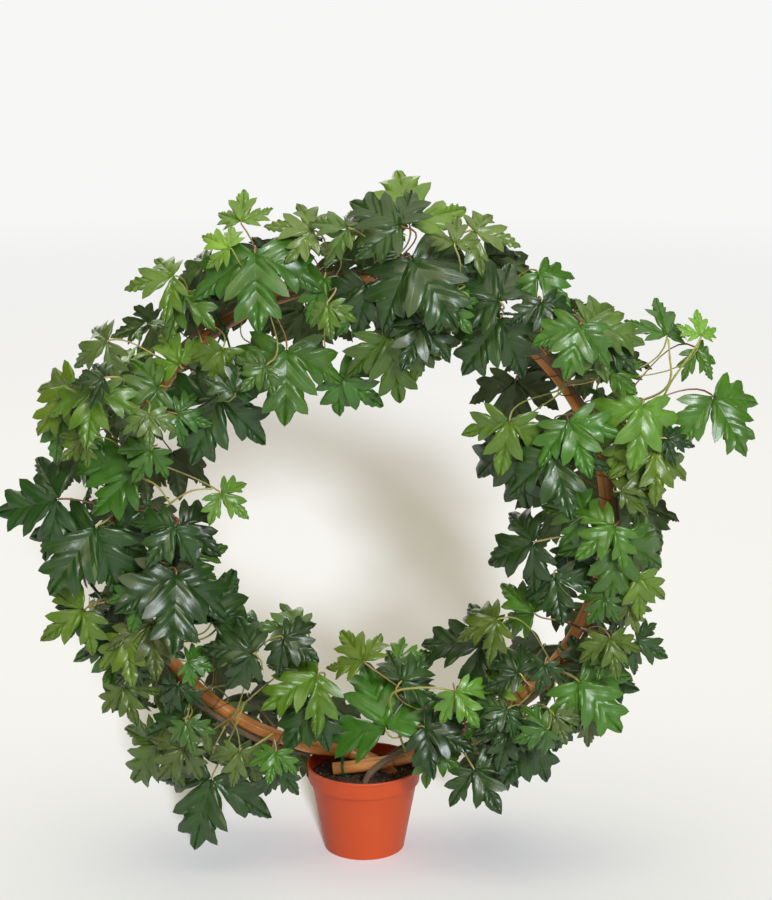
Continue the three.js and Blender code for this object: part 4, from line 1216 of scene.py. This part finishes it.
def stored(tree, geometry, name, output):
    """The geometry with how far along its curve each point is, as a length or a share."""
    run = add(tree, "GeometryNodeSplineParameter").outputs[output]
    values = {"Geometry": geometry, "Name": name, "Value": run}
    settings = {"data_type": "FLOAT", "domain": "POINT"}
    return add(tree, "GeometryNodeStoreNamedAttribute", values, **settings).outputs[0]


def sweep_tree():
    """Turns lines into round stems with a rough skin."""
    tree, given = start_tree("swept_stem", Sides="Int", Relief="Float", Relief_size="Float")
    curve = add(tree, "GeometryNodeMeshToCurve", {0: given["Geometry"]}).outputs[0]
    curve = stored(tree, curve, "along", "Length")
    ring = add(tree, "GeometryNodeCurvePrimitiveCircle", {"Resolution": given["Sides"], "Radius": 1.0})
    ring = stored(tree, ring.outputs[0], "around", "Factor")
    thick = add(tree, "GeometryNodeInputNamedAttribute", {"Name": "thick"}, data_type="FLOAT").outputs[0]
    body = add(tree, "GeometryNodeCurveToMesh", {
        "Curve": curve, "Profile Curve": ring, "Scale": thick, "Fill Caps": True}).outputs[0]
    skin = add(tree, "ShaderNodeTexNoise", {
        "Vector": add(tree, "GeometryNodeInputPosition").outputs[0],
        "Scale": given["Relief_size"], "Detail": 3.0}).outputs["Fac"]
    push = add(tree, "ShaderNodeMath", {0: skin, 1: 0.5}, operation="SUBTRACT").outputs[0]
    push = add(tree, "ShaderNodeMath", {0: push, 1: given["Relief"]}, operation="MULTIPLY").outputs[0]
    normal = add(tree, "GeometryNodeInputNormal").outputs[0]
    offset = add(tree, "ShaderNodeVectorMath", {0: normal, "Scale": push}, operation="SCALE").outputs[0]
    body = add(tree, "GeometryNodeSetPosition", {"Geometry": body, "Offset": offset}).outputs[0]
    return end_tree(tree, body, given["Finish"])


SWEEP = sweep_tree()


def worked(name, mesh, tree, finish, angle=45, **values):
    """The mesh as a Geometry Nodes tree leaves it, as a plain piece."""
    rough = in_scene(name + "_start", mesh)
    modifier = rough.modifiers.new("make", "NODES")
    modifier.node_group = tree
    values["Finish"] = finish
    for item in tree.interface.items_tree:
        if item.item_type == "SOCKET" and item.in_out == "INPUT" and item.name in values:
            modifier[item.identifier] = values[item.name]
    made = plain_mesh(rough)
    bpy.data.objects.remove(rough)
    return shown(name, made, finish, angle)


def swept(name, lines, finish, sides=12, relief_height=0.0, relief_size=100.0):
    """A piece of round stems. Each line is its points with the stem's radius at each."""
    points, edges, thick = [], [], []
    for line, radii in lines:
        start = len(points)
        points += line.tolist()
        edges += [(start + i, start + i + 1) for i in range(len(line) - 1)]
        thick += (np.asarray(radii) * MM).tolist()
    mesh = mesh_of(name + "_lines", points, [], edges)
    mark_points(mesh, "thick", thick)
    return worked(name, mesh, SWEEP, finish, Sides=sides, Relief=relief_height * MM,
                  Relief_size=relief_size)


def thickness_along(line, start, end, knots, swell, seed):
    """Radii along a stem that tapers, with a swelling at each knot."""
    arc = lengths_along(line)
    radii = np.interp(arc, [0, arc[-1]], [start, end])
    draw = draws(seed)
    at = 0
    while at < arc[-1]:
        at += knots * (0.7 + 0.6 * draw())
        radii = radii + swell * (0.6 + 0.8 * draw()) * np.exp(-((arc - at) / (knots * 0.09)) ** 2)
    return radii


hoop_line = evenly(HOOP_SMOOTH, 520)
hoop_radii = thickness_along(hoop_line, start=8.0, end=7.8, knots=178, swell=0.5, seed=11)
hoop = swept("cane_hoop", [(hoop_line, hoop_radii)], CANE, sides=22, relief_height=0.5, relief_size=60.0)
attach(hoop, "root")
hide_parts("hoop")
for number, name in enumerate(VINES):
    line = evenly(vine_line(name), 420 if number < 2 else 320)
    radii = thickness_along(line, start=4.1, end=2.5, knots=44, swell=0.7, seed=21 + number)
    stem = swept("stem_" + name[5:], [(line, radii)], BARK, relief_height=1.1, relief_size=150.0)
    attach(stem, "root")
    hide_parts(name)


# Tendrils: some wind round the cane, others leave a side shoot and curl up free
TENDRIL_STARTS = [(6, 60), (-52, 80), (-49, 250), (152, 90), (221, 60), (88, 100), (33, 70)]


def coil_round_cane(angle, start_side, turns):
    line = []
    for i in range(60):
        share = i / 59
        cane = cane_at(angle + 5.5 * turns * share)
        radius = CANE_RADIUS + 1.1 + 3.6 * (1 - share) ** 3
        line.append(cane[0] + side_direction(cane, start_side + 360 * turns * share) * radius)
    return np.array(line)


def free_curl(shoot, seed):
    draw = draws(seed)
    root, way = stem_place(shoot, 0.5 + 0.4 * draw())
    out = unit(shoot["way"] * 0.6 + way * 0.4 + place(draw() - 0.5, -0.6, draw() - 0.7) * 0.7)
    aside = unit(np.cross(out, place(0.3, 0.5, 1)))
    up = np.cross(aside, out)
    length = 30 + 26 * draw()
    turns = 1.5 + 1.5 * draw()
    line = []
    for i in range(48):
        share = i / 47
        late = max(0, share - 0.45) / 0.55
        radius = 5.5 * late * (1 - 0.55 * late)
        turn = 2 * math.pi * turns * late
        spot = root + out * length * (share - 0.25 * late * late)
        line.append(spot + aside * radius * math.sin(turn) + up * radius * (1 - math.cos(turn)))
    return np.array(line)


tendrils = []
for number, (angle, side) in enumerate(TENDRIL_STARTS):
    line = coil_round_cane(angle, side, turns=2.5 + 0.5 * (number % 3))
    tendrils.append((line, np.linspace(0.75, 0.45, len(line))))
for number, shoot in enumerate(front_shoots[1::3]):
    line = free_curl(shoot, seed=400 + number)
    tendrils.append((line, np.linspace(0.6, 0.3, len(line))))
stems = swept("young_stems", runners, RUNNER, sides=8)
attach(stems, "root")
curls = swept("tendrils", tendrils, TENDRIL, sides=5)
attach(curls, "root")


# Ties: a soft band drawn tight round whatever crosses it, with a knot and two short ends
def hull(points):
    points = sorted(map(tuple, points))

    def half(row):
        kept = []
        for p in row:
            while len(kept) > 1:
                (ax, ay), (bx, by) = kept[-2:]
                if (bx - ax) * (p[1] - ay) - (by - ay) * (p[0] - ax) > 0:
                    break
                kept.pop()
            kept.append(p)
        return kept

    return half(points)[:-1] + half(points[::-1])[:-1]


STEM_LINES = [(HOOP_LINE, CANE_RADIUS)]
STEM_LINES += [(evenly(vine_line(name), 60), VINE_RADIUS) for name in VINES]


def tie_loop(centre, x_way, y_way):
    """The band's middle line round the stems that cross its plane, and its ways out and across."""
    normal = np.cross(x_way, y_way)
    dots = []
    for line, radius in STEM_LINES:
        for a, b in zip(line - centre, line[1:] - centre):
            if (a @ normal) * (b @ normal) > 0:
                continue
            cross = a + (b - a) * (a @ normal) / (a @ normal - b @ normal)
            if np.linalg.norm(cross) > TIE_REACH:
                continue
            reach = radius / abs(unit(b - a) @ normal) + TIE_SLACK + TIE_WALL / 2
            for t in np.linspace(0, 2 * math.pi, 32, endpoint=False):
                dots.append((cross @ x_way + reach * math.cos(t), cross @ y_way + reach * math.sin(t)))
    flat = np.array(hull(dots))
    line = evenly(np.array([centre + x * x_way + y * y_way for x, y in [*flat, flat[0]]]), 97)[:-1]
    return line, normal


def blunt(values, size):
    """A band's section: half its wall or its width at each turn, with blunt corners."""
    return np.sign(values) * np.abs(values) ** 0.7 * size / 2


def tie_band(name, centre, x_way, y_way, seed):
    line, normal = tie_loop(centre, x_way, y_way)
    count = len(line)
    along = np.roll(line, -1, axis=0) - np.roll(line, 1, axis=0)
    along /= np.linalg.norm(along, axis=1)[:, None]
    out = np.cross(along, normal)
    draw = draws(seed)
    phase = 6.28 * draw()
    around = np.arange(count) / count * 2 * math.pi
    lay = 0.5 * np.sin(around + phase) + 0.25 * np.sin(3 * around)
    turns = np.arange(TIE_SIDES) / TIE_SIDES * 2 * math.pi
    section_out = blunt(np.cos(turns), TIE_WALL)
    section_wide = blunt(np.sin(turns), TIE_WIDTH)
    points = (line[:, None] + out[:, None] * section_out[None, :, None]
              + normal * (section_wide[None, :, None] + lay[:, None, None])).reshape(-1, 3)
    parts = [(points, ring_faces(count, TIE_SIDES, True))]
    start = int(draw() * 0.2 * count)
    front = int(np.argmin(line[:, 1]))
    knot = line[(front + start) % count] + out[(front + start) % count] * 1.4
    for sense in (-1, 1):
        drop = place(0.35 * sense + 0.3 * (draw() - 0.5), -0.25, -0.9 * draw() + 0.1)
        length = (10 + 14 * draw()) * (1.5 if name == "tie_top_left" and sense > 0 else 1)
        share = np.linspace(0, 1, 14)[:, None]
        tail = knot + unit(drop) * length * share + place(0, 0, -0.35 * length) * share ** 2
        _, across, up = frames_along(tail, normal)
        points = (tail[:, None] + up[:, None] * section_out[None, :, None]
                  + across[:, None] * (section_wide[None, :, None] * 0.8)).reshape(-1, 3)
        last = len(points) - 1
        caps = [list(range(TIE_SIDES)), list(range(last, last - TIE_SIDES, -1))]
        parts.append((points, ring_faces(len(tail), TIE_SIDES) + caps))
    twist = np.array([knot + normal * 2.0 * math.cos(t) + out[front] * 0.5 * math.sin(2 * t)
                      for t in np.linspace(0, math.pi, 9)])
    parts.append(round_stem(twist, [1.2, 1.6, 1.2], sides=8))
    return parts


def whole_piece(name, parts, finish, angle=45):
    return shown(name, mesh_of(name, *together(parts)), finish, angle)


def outward(mesh):
    """Turns a closed mesh's faces outwards."""
    work = bmesh.new()
    work.from_mesh(mesh)
    bmesh.ops.recalc_face_normals(work, faces=work.faces)
    work.to_mesh(mesh)
    work.free()


places = {"tie_pot": (place(*POT_TIE), place(0, 1, 0), place(0, 0, 1))}
places.update({name: cane_at(angle) for name, angle in TIES.items()})
for number, (name, where) in enumerate(places.items()):
    band = whole_piece("soft_" + name, tie_band(name, *where, seed=700 + number), TIE)
    outward(band.data)
    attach(band, "root")
    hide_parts(name)


# Pot: a turned wall with a stepped band, a rolled lip and a foot ring, and its drain holes
def turned(profile, sides):
    turns = np.arange(sides) / sides * 2 * math.pi
    points = [(r * math.cos(t), r * math.sin(t), z) for r, z in profile for t in turns]
    return points, [[a, d, c, b] for a, b, c, d in ring_faces(len(profile), sides)]


def closed_turned(profile, sides):
    """A turned body whose profile starts and ends on the axis, each pole one point."""
    points, faces = turned(profile[1:-1], sides)
    low, high = len(points), len(points) + 1
    points += [(0, 0, profile[0][1]), (0, 0, profile[-1][1])]
    last = (len(profile) - 3) * sides
    for j in range(sides):
        k = (j + 1) % sides
        faces.append([low, k, j])
        faces.append([high, last + j, last + k])
    return np.array(points), faces


def arc_of(centre, radius, start, end, count):
    turns = [math.radians(a) for a in np.linspace(start, end, count)]
    return [(centre[0] + radius * math.cos(t), centre[1] + radius * math.sin(t)) for t in turns]


step = POT["height"] - POT["band"]
pot_profile = [(0, 1.2), (20, 1.2), (40, 1.2), (43.5, 1.0), (44.5, 0.2), (45.5, 0), (48.2, 0)]
pot_profile += arc_of((48.1, 1.6), radius=1.6, start=-60, end=10, count=5)
pot_profile += [(49.5 + 15.3 * s, 1.8 + (step - 3) * s) for s in np.linspace(0.02, 1, 14)]
pot_profile += [(65.0, step - 0.7), (66.4, step - 0.2), (67.6, step + 0.3), (68.1, step + 1.2)]
pot_profile += [(68.1 + 1.5 * s, step + 1.2 + (POT["band"] - 4.4) * s) for s in np.linspace(0.1, 1, 7)]
pot_profile += arc_of((69.0, POT["height"] - 1.5), radius=1.5, start=-30, end=165, count=12)
pot_profile += [(67.4, POT["height"] - 3), (66.6, POT["height"] - 8), (65.2, step + 1), (63.2, step - 2)]
pot_profile += [(63.0 - 15.0 * s, (step - 2) * (1 - s) + 3.4 * s) for s in np.linspace(0.1, 1, 8)]
pot_profile += [(46.5, 2.6), (30, 2.4), (0, 2.4)]
wall_mesh = mesh_of("pot_wall", *closed_turned(pot_profile, sides=128))
outward(wall_mesh)
wall = in_scene("pot_wall", wall_mesh)
pins = []
for i in range(DRAIN["count"]):
    turn = 2 * math.pi * i / DRAIN["count"]
    pin_profile = [(0, -2), (DRAIN["radius"], -2), (DRAIN["radius"], 6), (0, 6)]
    pin, skin = closed_turned(pin_profile, sides=24)
    pins.append((pin + DRAIN["ring"] * place(math.cos(turn), math.sin(turn), 0), skin))
pin_mesh = mesh_of("drain_pins", *together(pins))
outward(pin_mesh)
cut = wall.modifiers.new("drain", "BOOLEAN")
cut.operation = "DIFFERENCE"
cut.solver = "EXACT"
cut.object = in_scene("drain_pins", pin_mesh)
pot_mesh = plain_mesh(wall)
bpy.data.objects.remove(cut.object)
bpy.data.objects.remove(wall)
pot = shown("plant_pot", pot_mesh, PLASTIC, angle=32)
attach(pot, "root")
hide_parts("pot")


# Soil: a lumpy filling, and crumbs and grit strewn over it by Geometry Nodes
def soil_height(x, y):
    low = np.sin(0.11 * x + 1.3) * np.cos(0.13 * y - 0.6) + 0.6 * np.sin(0.27 * x - 0.21 * y + 2)
    fine = np.sin(0.83 * x + 0.4 * y) * np.cos(0.71 * y - 0.3 * x)
    return SOIL_TOP + 0.8 + 1.3 * low + 0.5 * fine


def pot_inside(z):
    """The pot's inner radius at a height."""
    top = POT["height"] - POT["band"] - 2
    base, shoulder = POT["base"] - POT["wall"], POT["shoulder"] - POT["wall"]
    if z <= top:
        return np.interp(z, [POT["floor"], top], [base, shoulder])
    return np.interp(z, [top, POT["height"]], [shoulder, POT["rim"] - POT["wall"] - 0.6])


edge = pot_inside(SOIL_TOP) - 0.1
soil_profile = [(0, 3), (pot_inside(3) - 0.6, 3), (pot_inside(84) - 0.6, 84)]
soil_profile += [(edge * s, SOIL_TOP) for s in np.linspace(1, 0.03, 26)] + [(0, SOIL_TOP)]
points, faces = closed_turned(soil_profile, sides=90)
top = points[:, 2] > SOIL_TOP - 0.01
points[top, 2] = soil_height(points[top, 0], points[top, 1])
soil = whole_piece("potting_soil", [(points, faces)], SOIL, angle=60)
outward(soil.data)
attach(soil, "root")
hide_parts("soil")


def strewn_tree():
    """Strews lumps of all sizes and turns over a face."""
    tree, given = start_tree("strewn_crumbs", Density="Float", Smallest="Float", Largest="Float",
                             Seed="Int")
    spots = add(tree, "GeometryNodeDistributePointsOnFaces", {
        "Mesh": given["Geometry"], "Density": given["Density"], "Seed": given["Seed"]}).outputs["Points"]
    crumb = add(tree, "GeometryNodeMeshIcoSphere", {"Radius": 1.0, "Subdivisions": 1}).outputs[0]
    turn = add(tree, "FunctionNodeRandomValue", {
        "Min": (0, 0, 0), "Max": (6.28, 6.28, 6.28), "Seed": 3}, data_type="FLOAT_VECTOR").outputs[0]
    size = add(tree, "FunctionNodeRandomValue", {
        2: given["Smallest"], 3: given["Largest"], "Seed": 5}, data_type="FLOAT").outputs[1]
    shape = add(tree, "FunctionNodeRandomValue", {
        "Min": (0.7, 0.7, 0.45), "Max": (1.5, 1.2, 1.0), "Seed": 9}, data_type="FLOAT_VECTOR").outputs[0]
    scale = add(tree, "ShaderNodeVectorMath", {0: shape, "Scale": size}, operation="SCALE").outputs[0]
    body = add(tree, "GeometryNodeInstanceOnPoints", {
        "Points": spots, "Instance": crumb, "Rotation": turn, "Scale": scale}).outputs[0]
    return end_tree(tree, body, given["Finish"])


STREWN = strewn_tree()


def soil_field():
    """The soil's open face as a flat grid of its own, kept a little inside the pot's wall."""
    reach = edge - 1.5
    size = 40
    steps = [(2 * i / (size - 1) - 1) * reach for i in range(size)]
    points, known, faces = [], {}, []
    for i in range(size):
        for j in range(size):
            if math.hypot(steps[i], steps[j]) < reach:
                known[i, j] = len(points)
                points.append((steps[i], steps[j], float(soil_height(steps[i], steps[j]))))
    for i, j in known:
        corners = [(i, j), (i + 1, j), (i + 1, j + 1), (i, j + 1)]
        if all(c in known for c in corners):
            faces.append([known[c] for c in corners])
    return mesh_of("soil_field", points, faces)


# What is strewn: its count on a square metre, its smallest and largest radius in metres, and its seed
STREWING = [("soil_crumbs", 120000.0, 0.0005, 0.0018, 4, CRUMB),
            ("soil_grit", 1500.0, 0.0008, 0.0016, 8, PALE_GRIT)]
for name, density, smallest, largest, seed, finish in STREWING:
    strewn = worked(name, soil_field(), STREWN, finish, angle=80, Density=density, Smallest=smallest,
                    Largest=largest, Seed=seed)
    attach(strewn, "root")


# Floor, light and camera
FLOOR_HALF = 30000
NEAR_PAPER = (0.90, 0.895, 0.88, 1)
FAR_PAPER = (0.93, 0.93, 0.925, 1)
BLACK = (0, 0, 0, 1)
FADE = (1.6, 6.0)
LENS = 86.3
LOOKS_DOWN = 13.64


def studio_floor():
    """A wide floor of pale paper, which brightens evenly far from the plant."""
    corners = [(-1, -1, 0), (1, -1, 0), (1, 1, 0), (-1, 1, 0)]
    mesh = mesh_of("studio_floor", np.array(corners) * FLOOR_HALF, [[0, 1, 2, 3]])
    look = Look("studio_white", roughness=1.0, specular_ior_level=0.0)
    far = look.between(look.distance(look.where), *FADE)
    look.join(base_color=look.blended(far, NEAR_PAPER, BLACK), emission_strength=far)
    look.shader.inputs["Emission Color"].default_value = FAR_PAPER
    sheet = shown("studio_floor", mesh, look.material, angle=60)
    return sheet


def linked(name, sheet, state):
    """A light's list of what it shines on: the floor alone, or all but the floor."""
    group = bpy.data.collections.new(name)
    group.objects.link(sheet)
    group.collection_objects[0].light_linking.link_state = state
    return group


def lit(name, kind, where, target, power, colour, receivers):
    """A light that shines from a place at a target. Its size and shape are left to the caller."""
    lamp = bpy.data.lights.new(name, kind)
    lamp.energy = power
    lamp.color = colour
    holder = in_scene(name, lamp)
    holder.location = where
    holder.rotation_euler = (Vector(target) - Vector(where)).to_track_quat("-Z", "Y").to_euler()
    holder.visible_camera = False
    holder.light_linking.receiver_collection = receivers
    return lamp


def studio_air():
    """A dim warm room, which the camera sees as pale paper."""
    world = bpy.data.worlds.new("studio_air")
    world.use_nodes = True
    tree = world.node_tree
    dim = tree.nodes["Background"]
    dim.inputs["Color"].default_value = (1.0, 0.86, 0.62, 1)
    dim.inputs["Strength"].default_value = 0.10
    pale = add(tree, "ShaderNodeBackground", {"Color": FAR_PAPER, "Strength": 1.0}).outputs[0]
    seen = add(tree, "ShaderNodeLightPath").outputs["Is Camera Ray"]
    mixed = add(tree, "ShaderNodeMixShader", {0: seen, 1: dim.outputs[0], 2: pale}).outputs[0]
    tree.links.new(mixed, tree.nodes["World Output"].inputs["Surface"])
    bpy.context.scene.world = world


sheet = studio_floor()
floor_only = linked("floor_only", sheet, "INCLUDE")
plant_only = linked("all_but_floor", sheet, "EXCLUDE")
low_sun = lit("floor_light", "SUN", where=(0.5, -4.2, 1.22), target=(0, 0, 0), power=5.7,
              colour=(0.93, 0.99, 1.10), receivers=floor_only)
low_sun.angle = math.radians(6)

# Soft lights: place, target, size, power, colour and what they shine on
SOFT_LIGHTS = [
    ("key_light", (1.6, -3.9, 2.9), (0, 0, 0.45), (1.3, 1.1), 170, (0.94, 0.99, 1.06), plant_only),
    ("room_light", (-0.6, -3.4, 3.3), (0, 0, 0.4), (3.6, 2.4), 55, (1.20, 1.03, 0.66), plant_only),
    ("ceiling_light", (0, 1.0, 4.2), (0, 1.0, 0), (6.0, 7.0), 136, (1.07, 1.01, 0.84), None),
    ("back_light", (-1.2, 3.6, 1.9), (0, 0, 0.45), (3.4, 2.2), 62, (1.0, 1.0, 0.95), plant_only),
]
for name, where, target, size, power, colour, receivers in SOFT_LIGHTS:
    lamp = lit(name, "AREA", where, target, power, colour, receivers)
    lamp.shape = "RECTANGLE"
    lamp.size, lamp.size_y = size
studio_air()
lens = bpy.data.cameras.new("photo_camera")
lens.lens = LENS
lens.sensor_width = 36
camera = in_scene("photo_camera", lens)
camera.location = VIEWPOINT * MM
camera.rotation_euler = (math.radians(90 - LOOKS_DOWN), 0, 0)
bpy.context.scene.camera = camera
bpy.context.scene.view_settings.view_transform = "Standard"
